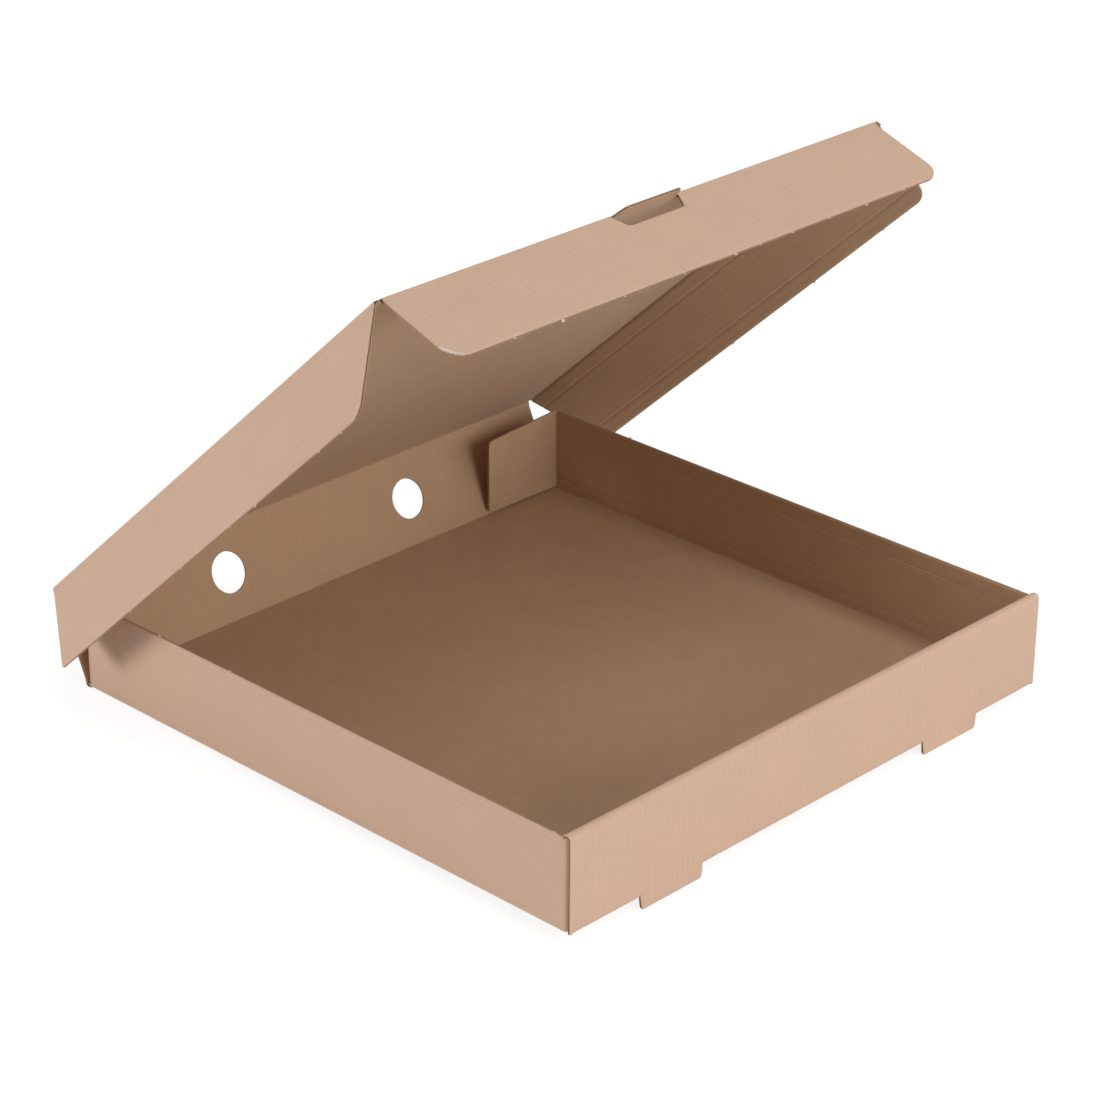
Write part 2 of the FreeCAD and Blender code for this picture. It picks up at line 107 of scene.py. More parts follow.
class CorrugatedBoard(PropertyGroup):
    """Sizes of the board itself, the same in every panel."""

    thickness: length("Board", 0.0015, "Thickness of the whole board")
    liner: length("Liner", 0.00025, "Thickness of each outer paper")
    paper: length("Flute paper", 0.00018, "Thickness of the waved paper")
    pitch: length("Flute pitch", 0.00339, "From the crest of one flute to the next")
    washboard: length("Washboard", 0.00007, "How far a liner sinks between two flutes")
    crush_inset: length("Crushed line", 0.008, "Crushed line from the edge or fold that it runs beside")
    crush_depth: length("Crushed depth", 0.0002, "Depth of a crushed line")


class TrayShape(PropertyGroup):
    """Sizes of the tray and of the back wall that the frame doesn't state."""

    side_height: length("Side walls", 0.0442, "Top of the side walls over the underside of the base")
    fold_radius: length("Fold", 0.00125, "Radius of a fixed fold at the middle of the board")
    roll_radius: length("Roll", 0.00165, "Radius of the front wall's two top folds, at the middle")
    wall_depth: length("Front wall", 0.005, "Thickness of the double front wall")
    panel_foot: length("Inner panel", 0.0018, "Bottom edge of the inner front panel")
    pocket: length("Pocket", 0.00175, "Front wall's outside to a corner tab's outer face")
    foot_centre: length("Foot place", 0.0916, "Middle of each foot from the middle of the front wall")
    foot_width: length("Foot width", 0.0385, "Foot where it leaves the front wall")
    foot_taper: length("Foot taper", 0.0012, "How much each end of a foot draws in")
    foot_radius: length("Foot corner", 0.0012, "Rounding of a foot's corners")
    lock_width: length("Lock tab", 0.034, "Lock tab in the slot behind each foot")
    lock_tip: length("Lock tip", 0.0003, "Tip of a lock tab over the underside of the base")
    trapped_length: length("Front tab", 0.042, "Front corner tab from the side wall's outside")
    tab_length: length("Back tab", 0.049, "Back corner tab from the side wall's outside")
    tab_fall: length("Tab fall", 0.0026, "Fall of a back tab's top edge to its free end")
    tab_rise: length("Tab rise", 0.0014, "Rise of a back tab's bottom edge to its free end")
    tab_radius: length("Tab corner", 0.0025, "Rounding of a tab's free corners")
    vent_spread: length("Vent place", 0.0583, "Middle of each vent from the middle of the back wall")
    vent_height: length("Vent height", 0.0231, "Middle of each vent over the base fold")
    vent_radius: length("Vent radius", 0.01, "Radius of a vent")


class LidShape(PropertyGroup):
    """Sizes of the lid and its flaps that the frame doesn't state."""

    reach: length("Fold gap", 0.0009, "A panel starts this far from its fold's axis")
    flap_depth: length("Flap depth", 0.04235, "Flaps from the fold's axis to the free edge")
    tongue_reach: length("Tongue", 0.008, "Tongue beyond the front fold")
    tongue_root: length("Tongue root", 0.0396, "Tongue where it leaves the lid")
    tongue_tip: length("Tongue tip", 0.033, "Tongue along its free edge")
    tongue_play: length("Tongue cut", 0.00035, "Cut round the tongue in the front flap")
    tongue_radius: length("Tongue corner", 0.0015, "Rounding of the tongue's corners")
    notch_radius: length("Notch corner", 0.003, "Rounding of the notch's corners")
    front_corner: length("Front corner", 0.01, "Rounding of the front flap's lower corners")
    back_cut: length("Back cut", 0.0085, "Draw-in of a side flap's back end")
    front_cut: length("Front cut", 0.016, "Draw-in of a side flap's front end")
    side_corner: length("Side corner", 0.009, "Rounding of a side flap's front corner")
    back_corner: length("Back corner", 0.001, "Rounding of a side flap's back corner")
    side_gap: length("Side gap", 0.0006, "Side flap short of the lid's front fold")
    bow: length("Lid bow", 0.0011, "How far the middle of the lid stands proud of a flat sheet")


class CardFinish(PropertyGroup):
    """Colours of the papers."""

    outside: colour("Outer liner", (0.600, 0.405, 0.290), "Pale brown kraft of the outside")
    inside: colour("Inner liner", (0.480, 0.313, 0.190), "Browner kraft of the inside")
    core: colour("Flute paper", (0.400, 0.250, 0.155), "Waved paper and cut edges")
    torn: colour("Torn fibre", (0.72, 0.60, 0.50), "Pale fibre where the liner is torn")
    fleck: colour("Fleck", (0.16, 0.085, 0.045), "Dark flecks in the paper")


class StudioSet(PropertyGroup):
    """Camera and lights."""

    lens: FloatProperty(name="Lens", description="Focal length in mm", default=114.718, min=1)
    place: FloatVectorProperty(
        name="Camera place",
        description="Where the camera stands",
        default=(-1.018525, -0.977473, 0.746746),
        size=3,
        subtype="XYZ",
        unit="LENGTH",
    )
    azimuth: FloatProperty(
        name="Azimuth", description="Turn round the box", default=math.radians(-45.968), subtype="ANGLE"
    )
    tilt: FloatProperty(
        name="Tilt", description="Down from level", default=math.radians(25.672), subtype="ANGLE"
    )
    roll: FloatProperty(
        name="Roll", description="Turn about the view", default=math.radians(0.357), subtype="ANGLE"
    )
    sky: FloatProperty(name="Sky", description="Strength of the even light", default=0.12, min=0)
    front: FloatProperty(name="Front", description="Power of the low front lamp in W", default=31.5, min=0)
    high: FloatProperty(name="High", description="Power of the high front lamp in W", default=24.5, min=0)
    right: FloatProperty(name="Right", description="Power of the right front lamp in W", default=20.0, min=0)
    left: FloatProperty(name="Left", description="Power of the back left lamp in W", default=43.5, min=0)
    top: FloatProperty(name="Top", description="Power of the top lamp in W", default=29.0, min=0)


def unit(vector):
    """The vector at length one."""
    return np.asarray(vector, float) / np.linalg.norm(vector)


def fold_place(name):
    """A point on a joint's axis."""
    return np.array(JOINTS[name]["pos_m"])


def splay(name):
    """How far a panel stands past square to its parent at rest, in radians."""
    return -math.radians(JOINTS[name]["range_deg"][0])


BACK_FOLD = fold_place("back_wall_fold")
LID_FOLD = fold_place("lid_fold")
FRONT_FOLD = fold_place("front_flap_fold")
SIDE_FOLD = float(fold_place("right_flap_fold")[0])
BACK_HEIGHT = float(np.linalg.norm(LID_FOLD - BACK_FOLD))
LID_LENGTH = float(np.linalg.norm(FRONT_FOLD - LID_FOLD))
UP_WALL = unit(LID_FOLD - BACK_FOLD)
DOWN_LID = unit(FRONT_FOLD - LID_FOLD)
WALL_OUT = np.cross(UP_WALL, X)
LID_OUT = np.cross(DOWN_LID, X)


def swung(name, square, open_way):
    """The direction of a flap from its fold: square to the lid, turned by its splay."""
    angle = splay(name)
    return math.cos(angle) * square + math.sin(angle) * open_way


FRONT_DOWN = swung("front_flap_fold", -LID_OUT, DOWN_LID)
LEFT_DOWN = swung("left_flap_fold", -LID_OUT, -X)
RIGHT_DOWN = swung("right_flap_fold", -LID_OUT, X)


def flat(corner, across, along, outward, bow=0.0, size=(1.0, 1.0)):
    """A flat sheet: corner plus u times across plus v times along.

    With a bow it stands proud by bow times the product of two half sine waves over its size."""

    def surface(u, v):
        place = corner + u[..., None] * across + v[..., None] * along
        if bow:
            rise = np.cos(math.pi * np.clip(u / size[0], -0.5, 0.5))
            rise = rise * np.sin(math.pi * np.clip(v / size[1], 0, 1)) * bow
            place = place + rise[..., None] * outward
        return place, np.broadcast_to(outward, place.shape)

    return surface


def folded_line(corners, radii, steps=5):
    """A line through corners with each inner corner rounded by an arc.

    Gives the distance run, the points and the left-hand normals. An arc's points are its centre plus
    its radius times the direction that turns evenly from one side's normal to the next side's."""
    corners = np.array(corners, float)
    runs = [unit(after - before) for before, after in zip(corners[:-1], corners[1:])]
    points = [corners[0]]
    normals = [np.array((-runs[0][1], runs[0][0]))]
    for corner, radius, entry, leave in zip(corners[1:-1], radii, runs[:-1], runs[1:]):
        turn = math.atan2(entry[0] * leave[1] - entry[1] * leave[0], float(entry @ leave))
        side = math.copysign(1.0, turn)
        start = corner - entry * radius * math.tan(abs(turn) / 2)
        left = np.array((-entry[1], entry[0]))
        centre = start + left * side * radius
        for share in np.linspace(0, 1, steps + 1):
            angle = turn * share
            rotation = np.array(((math.cos(angle), -math.sin(angle)), (math.sin(angle), math.cos(angle))))
            normal = rotation @ left
            points.append(centre - normal * side * radius)
            normals.append(normal)
    points.append(corners[-1])
    normals.append(np.array((-runs[-1][1], runs[-1][0])))
    points = np.array(points)
    run = np.concatenate(((0,), np.cumsum(np.linalg.norm(np.diff(points, axis=0), axis=1))))
    return run, points, np.array(normals)


def carried(line, first, second, third, along_line, start=0.0):
    """A sheet whose profile is a folded line in the plane of two axes, carried along a third.

    along_line says whether v runs down the profile, or u does."""
    run, points, normals = line

    def surface(u, v):
        far, drawn = (v, u) if along_line else (u, v)
        far = far + start
        p = [np.interp(far, run, points[:, k]) for k in (0, 1)]
        n = [np.interp(far, run, normals[:, k]) for k in (0, 1)]
        place = p[0][..., None] * first + p[1][..., None] * second + drawn[..., None] * third
        normal = n[0][..., None] * first + n[1][..., None] * second
        return place, normal / np.linalg.norm(normal, axis=-1, keepdims=True)

    return surface


def level(value):
    """An edge that stays at one place, whatever the column."""
    return lambda u: np.full_like(u, value)


def near_edges(low, high, inset=(0.0, 0.0004, 0.001, 0.0025)):
    """Row places that crowd towards both ends of a stretch."""
    inset = np.array(inset)
    return np.concatenate((low + inset, (low + high) / 2 + np.zeros(1), high - inset))


def corner_columns(corner, radius, steps=8):
    """Columns that follow a rounded corner on either side of its place."""
    turn = np.linspace(0, math.pi / 2, steps)
    return np.concatenate((corner - radius * np.sin(turn), corner + radius * np.sin(turn)))


class Stretch:
    """One stretch of board: u across its flutes, v along them, between a low and a high edge."""

    def __init__(self, surface, span, rows, low, high, extras=(), hole=None, pinch=(0.2,) * 4, crushed=(),
                 inner_rows=None):
        self.surface = surface
        self.span = span
        self.rows = np.unique(np.round(rows, 7))
        self.inner_rows = self.rows if inner_rows is None else np.unique(np.round(inner_rows, 7))
        self.low = low
        self.high = high
        self.extras = np.asarray(extras, float)
        self.hole = hole
        self.pinch = pinch
        self.crushed = crushed

    def columns(self, pitch, steps):
        """Where the columns stand: evenly over each flute, and at each named place."""
        first, last = self.span
        step = pitch / steps
        even = np.arange(math.ceil(first / step), math.floor(last / step) + 1) * step
        marks = [place + np.array((-1, -0.5, -0.25, 0, 0.25, 0.5, 1)) * MM for place in self.crushed]
        own = np.concatenate([even, self.extras, *marks, np.array((0.0004, 0.001)) + first])
        own = np.concatenate((own, last - np.array((0.0004, 0.001)), self.span))
        return np.unique(np.round(own[(own >= first) & (own <= last)], 7))

    def grid(self, board, steps, rows):
        """Points, normals, distances and triangles of the stretch over the rows.

        Each column has the same rows, clipped between its own low and high edge. Rows that fall
        together share a point, so an outline of any form is followed without thin faces."""
        u = self.columns(board.pitch, steps)
        low = self.low(u)
        high = self.high(u)
        if self.hole is None:
            v = np.clip(rows[None, :], low[:, None], high[:, None])
            skipped = -1
        else:
            middle, half = self.hole
            below = rows[rows < middle]
            above = rows[rows > middle]
            bottom = np.concatenate((below, (middle,)))
            top = np.concatenate(((middle,), above))
            v = np.hstack((
                np.minimum(bottom[None, :], (middle - half(u))[:, None]),
                np.maximum(top[None, :], (middle + half(u))[:, None]),
            ))
            v = np.clip(v, low[:, None], high[:, None])
            skipped = len(bottom) - 1
        count = v.shape[1]
        fresh = np.ones(v.shape, bool)
        fresh[:, 1:] = np.diff(v, axis=1) > 1e-7
        first = np.maximum.accumulate(np.where(fresh, np.arange(count), 0), axis=1)
        index = first + np.arange(len(u))[:, None] * count
        a, b, c, d = index[:-1, :-1], index[1:, :-1], index[1:, 1:], index[:-1, 1:]
        kept = np.ones(a.shape, bool)
        if skipped >= 0:
            kept[:, skipped] = False
        triangles = np.concatenate((
            np.stack((a[kept], b[kept], c[kept]), axis=1),
            np.stack((a[kept], c[kept], d[kept]), axis=1),
        ))
        wide = np.broadcast_to(u[:, None], v.shape)
        place, normal = self.surface(wide, v)
        across = np.cross(place[1, 0] - place[0, 0], place[0, -1] - place[0, 0])
        if across @ normal[0, 0] < 0:
            triangles = triangles[:, ::-1]
        edge = 0.0006
        gaps = (v - low[:, None], high[:, None] - v, wide - u[0], u[-1] - wide)
        pinch = sum(share * np.exp(-((gap / edge) ** 2)) for share, gap in zip(self.pinch, gaps))
        half = board.thickness / 2 * (1 - np.minimum(pinch, 0.42))
        dents = sum(np.exp(-(((wide - place) / 0.0004) ** 2)) for place in self.crushed) * board.crush_depth
        flat_parts = [part.reshape(-1, *part.shape[2:]) for part in (place, normal, wide, v, half)]
        return *flat_parts, np.broadcast_to(dents, v.shape).ravel(), triangles


def joined(board, stretches, steps, inner=False):
    """The grids of several stretches as one, with shared points where they meet.

    The waved paper inside needs fewer rows than the liners."""
    parts = [stretch.grid(board, steps, stretch.inner_rows if inner else stretch.rows) for stretch in stretches]
    shifts = np.cumsum([0] + [len(part[0]) for part in parts[:-1]])
    columns = [np.concatenate([part[k] for part in parts]) for k in range(6)]
    triangles = np.concatenate([part[6] + shift for part, shift in zip(parts, shifts)])
    _, first, inverse = np.unique(
        np.round(columns[0] * 1e6).astype(np.int64), axis=0, return_index=True, return_inverse=True
    )
    triangles = inverse.reshape(-1)[triangles]
    ok = (triangles[:, 0] != triangles[:, 1]) & (triangles[:, 1] != triangles[:, 2])
    ok &= triangles[:, 0] != triangles[:, 2]
    triangles = triangles[ok]
    used, packed = np.unique(triangles, return_inverse=True)
    return [column[first][used] for column in columns], packed.reshape(-1, 3)


def closed(top, bottom, triangles):
    """A closed shell between two sheets with the same triangles: both faces, and a rim round each
    edge that only one triangle has. Gives points, faces and how many faces are top and bottom."""
    count = len(top)
    edges = np.concatenate([triangles[:, (k, (k + 1) % 3)] for k in range(3)])
    codes = edges[:, 0].astype(np.int64) * count + edges[:, 1]
    back = edges[:, 1].astype(np.int64) * count + edges[:, 0]
    open_edges = edges[~np.isin(codes, back)]
    p, q = open_edges[:, 0], open_edges[:, 1]
    rim = np.concatenate((
        np.stack((q, p, p + count), axis=1),
        np.stack((q, p + count, q + count), axis=1),
    ))
    faces = np.concatenate((triangles, triangles[:, ::-1] + count, rim))
    return np.concatenate((top, bottom)), faces, len(triangles)


def uneven(first, second, seed):
    """A slow wave between 0 and 1 over two distances: the mean of three sine waves."""
    draw = np.random.default_rng(seed)
    total = np.zeros(np.shape(first))
    for step in range(3):
        one, two = draw.uniform(25, 160, 2)
        phase = draw.uniform(0, 2 * math.pi)
        total = total + np.sin(first * one + second * two + phase + step)
    return 0.5 + total / 6


def mesh_object(name, points, faces, slots, uv, materials):
    """A mesh of triangles with one UV map in metres and a material slot for each face."""
    mesh = bpy.data.meshes.new(name)
    mesh.vertices.add(len(points))
    mesh.vertices.foreach_set("co", np.asarray(points, np.float32).ravel())
    mesh.loops.add(faces.size)
    mesh.loops.foreach_set("vertex_index", faces.astype(np.int32).ravel())
    mesh.polygons.add(len(faces))
    mesh.polygons.foreach_set("loop_start", np.arange(len(faces), dtype=np.int32) * 3)
    mesh.polygons.foreach_set("material_index", slots.astype(np.int32))
    mesh.update(calc_edges=True)
    layer = mesh.uv_layers.new(name="Flutes")
    layer.data.foreach_set("uv", uv[faces.ravel()].astype(np.float32).ravel())
    mesh.polygons.foreach_set("use_smooth", np.ones(len(faces), bool))
    mesh.set_sharp_from_angle(angle=math.radians(38))
    for material in materials:
        mesh.materials.append(material)
    mesh.validate()
    piece = bpy.data.objects.new(name, mesh)
    bpy.context.scene.collection.objects.link(piece)
    return piece


def board_piece(name, stretches, seed):
    """A sheet of corrugated board over the stretches.

    The outer liner runs from half the thickness inwards and sinks a little between two crests of the
    waved paper. The inner liner does the same on its side. The waved paper is a sine of the distance
    across the flutes."""
    board = bpy.context.scene.box_board
    fine, triangles = joined(board, stretches, 5)
    place, normal, u, v, half, dents = fine
    wave = np.sin(2 * math.pi * u / board.pitch)
    depth = board.washboard * (0.35 + 0.65 * uneven(u, v, seed))
    over = half - depth * (1 - wave) / 2
    under = half - depth * (1 + wave) / 2 - dents
    skin = np.minimum(half, board.thickness / 2 * 0.8) - board.liner
    uv = np.stack((u, v), axis=1)
    shells = [
        (place + normal * over[:, None], place + normal * skin[:, None], OUTSIDE, CORE, triangles, uv),
        (place - normal * skin[:, None], place - normal * under[:, None], CORE, INSIDE, triangles, uv),
    ]
    coarse, core_triangles = joined(board, stretches, 7, inner=True)
    place, normal, u, v, half, dents = coarse
    crest = np.minimum(half, board.thickness / 2 * 0.8) - board.liner - board.paper * 0.3
    middle = np.sin(2 * math.pi * u / board.pitch) * crest
    middle = middle[:, None]
    paper = board.paper / 2
    core_uv = np.stack((u, v), axis=1)
    shells.append(
        (place + normal * (middle + paper), place + normal * (middle - paper), CORE, CORE,
         core_triangles, core_uv)
    )
    return shell_piece(name, shells)


def shell_piece(name, shells):
    """One object of several closed shells: top points, bottom points, their slots, triangles and UV."""
    points, faces, slots, uvs = [], [], [], []
    shift = 0
    for top, bottom, top_slot, bottom_slot, triangles, uv in shells:
        shell, shell_faces, count = closed(top, bottom, triangles)
        slot = np.full(len(shell_faces), bottom_slot if top_slot == CORE else top_slot)
        slot[:count] = top_slot
        slot[count:2 * count] = bottom_slot
        points.append(shell)
        faces.append(shell_faces + shift)
        slots.append(slot)
        uvs.append(np.concatenate((uv, uv)))
        shift += len(shell)
    joined_parts = (np.concatenate(part) for part in (points, faces, slots, uvs))
    return mesh_object(name, *joined_parts, card_materials())


def dressed(piece, body, *nodes):
    """Lets a piece ride on a body and stand for its nodes."""
    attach(piece, body)
    if nodes:
        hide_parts(*nodes)


def edge_through(corners, radii):
    """An edge through corners of which the inner ones are rounded: its place over u, and its points.

    The corners run one way in u, and a step from one place to another is a hair wide."""
    points = folded_line(corners, radii, 8)[1]
    return (lambda u: np.interp(u, points[:, 0], points[:, 1])), points[:, 0]


def front_line(shape, board, start):
    """The front wall's profile, from the base or a foot up, over the roll and down inside."""
    outer = FRONT_OUT + board.thickness / 2
    inner = FRONT_OUT + shape.wall_depth - board.thickness / 2
    top = FRONT_TOP - board.thickness / 2
    corners = [*start, (outer, top), (inner, top), (inner, shape.lock_tip)]
    radii = [shape.fold_radius] * (len(start) - 1) + [shape.roll_radius] * 2
    return folded_line(corners, radii)


def front_wall(shape, board):
    """The double front wall with its feet and lock tabs, as three kinds of stretch."""
    outer = FRONT_OUT + board.thickness / 2
    low = board.thickness / 2
    base_end = (FRONT_OUT + shape.wall_depth + 0.001, low)
    folded = front_line(shape, board, [base_end, (outer, low)])
    run = folded[0]
    points = folded[1]
    wall_start = run[np.argmax(points[:, 1] >= low + shape.fold_radius - 1e-9)]
    roll_end = run[-2]
    total = run[-1]
    lift = shape.panel_foot - shape.lock_tip
    half_foot = shape.foot_width / 2
    half_lock = shape.lock_width / 2
    step = 1e-5
    marks = []
    for side in (-1, 1):
        for half in (half_foot, half_lock):
            for way in (-1, 1):
                place = side * shape.foot_centre + way * half
                marks += [place - step, place + step]
    marks += [side * (FLAP_END + way * step) for side in (-1, 1) for way in (-1, 1)]
    marks += [side * (SIDE_OUT - 2 * MM + way * HAIR) for side in (-1, 1) for way in (-1, 0, 1)]
    for side in (-1, 1):
        for way in (-1, 1):
            tip = side * shape.foot_centre + way * (half_foot - shape.foot_taper)
            marks += list(corner_columns(tip, shape.foot_radius, 5))
            marks += list(np.linspace(tip, side * shape.foot_centre + way * half_foot, 4))
    marks = np.array(marks)

    def from_foot(u):
        return np.abs(np.abs(u) - shape.foot_centre)

    def wall_high(u):
        locked = np.where(from_foot(u) < half_lock, total, total - lift)
        return np.where(np.abs(u) < FLAP_END, locked, roll_end)

    bends = np.concatenate((run[run >= wall_start], (total - lift,)))
    edges = (total - lift - 0.0006, total - lift - 0.002)
    rows = np.concatenate((bends, edges, np.linspace(wall_start, roll_end, 7), np.linspace(roll_end, total, 4)))
    wall = Stretch(
        carried(folded, Y, Z, X, True), (-SIDE_OUT, SIDE_OUT), rows, level(wall_start), wall_high,
        marks, pinch=(0, 0.25, 0.08, 0.08), inner_rows=np.concatenate((bends, edges)),
    )
    foot_line = folded_line([(outer, -FOOT_DROP), (outer, low + shape.fold_radius)], [])
    depth = FOOT_DROP + low + shape.fold_radius

    def foot_low(u):
        away = from_foot(u)
        slant = half_foot - shape.foot_taper
        side = np.clip((away - slant) / shape.foot_taper, 0, 1) * depth
        near = np.clip(away - (slant - shape.foot_radius), 0, shape.foot_radius)
        rounding = shape.foot_radius - np.sqrt(shape.foot_radius**2 - near**2)
        return np.maximum(side, rounding)

    corner = SIDE_OUT - 2 * MM
    between = [(-corner, -shape.foot_centre - half_foot), (-shape.foot_centre + half_foot,
               shape.foot_centre - half_foot), (shape.foot_centre + half_foot, corner)]
    first_bend = run[run <= wall_start]
    folds = [
        Stretch(carried(folded, Y, Z, X, True), (a + step, b - step), first_bend, level(0.0),
                level(wall_start), marks, pinch=(0.2, 0, 0.3, 0.3))
        for a, b in between
    ]
    feet = [
        Stretch(carried(foot_line, Y, Z, X, True),
                (side * shape.foot_centre - half_foot + step, side * shape.foot_centre + half_foot - step),
                np.concatenate((near_edges(0, depth), np.linspace(0, depth, 6))), foot_low, level(depth), marks,
                pinch=(0.2, 0, 0.2, 0.2))
        for side in (-1, 1)
    ]
    tips = [
        Stretch(carried(foot_line, Y, Z, X, True), ends, near_edges(FOOT_DROP, depth), level(FOOT_DROP + 0.00065),
                level(depth), pinch=(0.2, 0, 0.08, 0.08))
        for ends in ((-SIDE_OUT, -corner - HAIR), (corner + HAIR, SIDE_OUT))
    ]
    return [wall, *folds, *feet, *tips]


def base_and_sides(shape, board):
    """The base with both side walls, as one profile across the flutes, carried from front to back."""
    out = SIDE_OUT - board.thickness / 2
    low = board.thickness / 2
    line = folded_line([(-out, shape.side_height), (-out, low), (out, low), (out, shape.side_height)],
                       [shape.fold_radius] * 2)
    run = line[0]
    half = run[-1] / 2
    front = FRONT_OUT + shape.pocket
    back = TRAY_HIGH[1] - board.thickness - 0.00025
    fold = 2 * MM
    half_foot = shape.foot_width / 2
    slot_end = FRONT_OUT + board.thickness + FOOT_DROP
    step = 1e-5
    marks = list(run[1:-1] - half)
    for side in (-1, 1):
        for way in (-1, 1):
            place = side * shape.foot_centre + way * half_foot
            marks += [place - step, place + step]
    flat_half = run[-2] - half - (run[-2] - run[-8]) / 2

    def start(u):
        slot = np.abs(np.abs(u) - shape.foot_centre) < half_foot
        base = np.where(slot, slot_end, FRONT_OUT + 2.2 * MM)
        return np.where(np.abs(u) < flat_half - fold, base, front + fold)

    tab_foot = half - shape.side_height + board.thickness + 0.5 * MM

    def end(u):
        base = np.where(np.abs(u) < flat_half - fold, BACK_FOLD[1] - board.thickness / 2, back)
        return np.where(np.abs(u) < tab_foot, base, back - fold)

    marks += [side * (place + way * step) for side in (-1, 1) for place in (flat_half - fold, tab_foot)
              for way in (-1, 1)]
    rows = np.concatenate((near_edges(front + fold, back - fold), (slot_end, slot_end + MM),
                           near_edges(FRONT_OUT + 2.2 * MM, BACK_FOLD[1] - board.thickness / 2)))
    wall = shape.side_height
    crushed = [side * (half - inset) for side in (-1, 1) for inset in (board.crush_inset, wall - board.crush_inset)]

    def surface(u, v):
        place, normal = carried(line, X, Z, Y, False, start=half)(u, v)
        return place, -normal

    return [Stretch(surface, (-half, half), rows, start, end, marks, pinch=(0.2, 0.2, 0.4, 0.4), crushed=crushed)]


def corner_tab(shape, board, side, back):
    """A corner tab with the fold that joins it to the side wall, its flutes level."""
    out = side * (SIDE_OUT - board.thickness / 2)
    if back:
        face = TRAY_HIGH[1] - 1.5 * board.thickness - 0.25 * MM
        tip = side * (SIDE_OUT - shape.tab_length)
        wall_end = face + board.thickness / 2 - 2 * MM
        reach = wall_end
    else:
        face = FRONT_OUT + shape.pocket + board.thickness / 2
        tip = side * (SIDE_OUT - shape.trapped_length)
        reach = FRONT_OUT + shape.pocket + 2 * MM
    line = folded_line([(out, reach), (out, face), (tip, face)], [shape.fold_radius])
    run = line[0]
    total = run[-1]
    bend_end = run[-2]
    bottom = board.thickness + (0.5 * MM if back else 1.4 * MM)
    top = shape.side_height
    radius = shape.tab_radius
    fall = shape.tab_fall if back else 1.4 * MM
    rise = shape.tab_rise if back else 0.0
    first = bottom if back else board.thickness
    outward = -1 if (side > 0) == back else 1

    def high(u):
        near = np.minimum(u - bottom - rise, top - fall - u)
        into = np.clip(radius - near, 0, radius)
        round_off = radius - np.sqrt(np.maximum(radius**2 - into**2, 0))
        tapered = np.where(near < -1e-9, bend_end, total - round_off)
        slope_top = np.clip((top - u) / max(fall, 1e-6), 0, 1)
        slope_low = np.clip((u - bottom) / max(rise, 1e-6), 0, 1)
        slanted = bend_end + (total - radius - bend_end) * np.minimum(slope_top, slope_low)
        return np.where(near < 0, slanted if back else bend_end, tapered)

    marks = np.concatenate((
        corner_columns(bottom + rise, radius, 7), corner_columns(top - fall, radius, 7),
        np.linspace(top - fall, top, 5), np.linspace(bottom, bottom + rise, 4),
    ))
    bends = np.concatenate((run, near_edges(bend_end, total, (0.0, 0.001))))
    rows = np.concatenate((bends, total - radius * np.linspace(0, 1, 4), np.linspace(bend_end, total, 6)))

    def surface(u, v):
        place, normal = carried(line, X, Y, Z, True)(u, v)
        return place, normal * outward

    crushed = [bottom + 6 * MM] if back else []
    return Stretch(surface, (first, top), rows, level(0.0), high, marks,
                   pinch=(0, 0.25, 0.35, 0.35), crushed=crushed, inner_rows=bends)


def back_wall(shape, board):
    """The back wall with its two vents, as one sheet."""
    reach = bpy.context.scene.box_lid.reach
    surface = flat(BACK_FOLD, X, UP_WALL, WALL_OUT)
    radius = shape.vent_radius
    turn = np.linspace(-math.pi / 2, math.pi / 2, 33)
    marks = np.concatenate([side * shape.vent_spread + radius * np.sin(turn) for side in (-1, 1)])

    def half(u):
        away = np.abs(np.abs(u) - shape.vent_spread)
        return np.sqrt(np.maximum(radius**2 - away**2, 0))

    rows = np.concatenate((near_edges(reach, BACK_HEIGHT - reach), shape.vent_height + np.array((-14, -11, 11, 14)) * MM))
    return Stretch(surface, (-WALL_END, WALL_END), rows, level(reach), level(BACK_HEIGHT - reach), marks,
                   hole=(shape.vent_height, half), pinch=(0.3, 0.3, 0.4, 0.4))


def lid_panel(shape, board):
    """The lid with its tongue, and with the two corners beyond the front flap's ends."""
    surface = flat(LID_FOLD, X, DOWN_LID, LID_OUT, shape.bow, (2 * SIDE_FOLD, LID_LENGTH))
    root = shape.tongue_root / 2
    tip = shape.tongue_tip / 2
    front = LID_LENGTH - shape.reach
    end = LID_LENGTH + shape.tongue_reach
    side = SIDE_FOLD - shape.reach
    corner = FLAP_END + 0.0002
    right = [(tip, end), (root, LID_LENGTH), (root + HAIR, front), (corner, front), (corner + HAIR, LID_LENGTH),
             (side, LID_LENGTH)]
    corners = [(-u, v) for u, v in reversed(right)] + right
    radii = [0] * 4 + [shape.tongue_radius] * 2 + [0] * 4
    high, marks = edge_through(corners, radii)
    tongue_rows = np.linspace(LID_LENGTH, end, 5)
    bends = np.concatenate((near_edges(shape.reach, front), np.linspace(shape.reach, front, 9), tongue_rows))
    rows = np.concatenate((bends, np.linspace(shape.reach, front, 17), (end - 0.0005,)))
    return Stretch(surface, (-side, side), rows, level(shape.reach), high, marks,
                   pinch=(0.25, 0.25, 0.3, 0.3), inner_rows=bends)


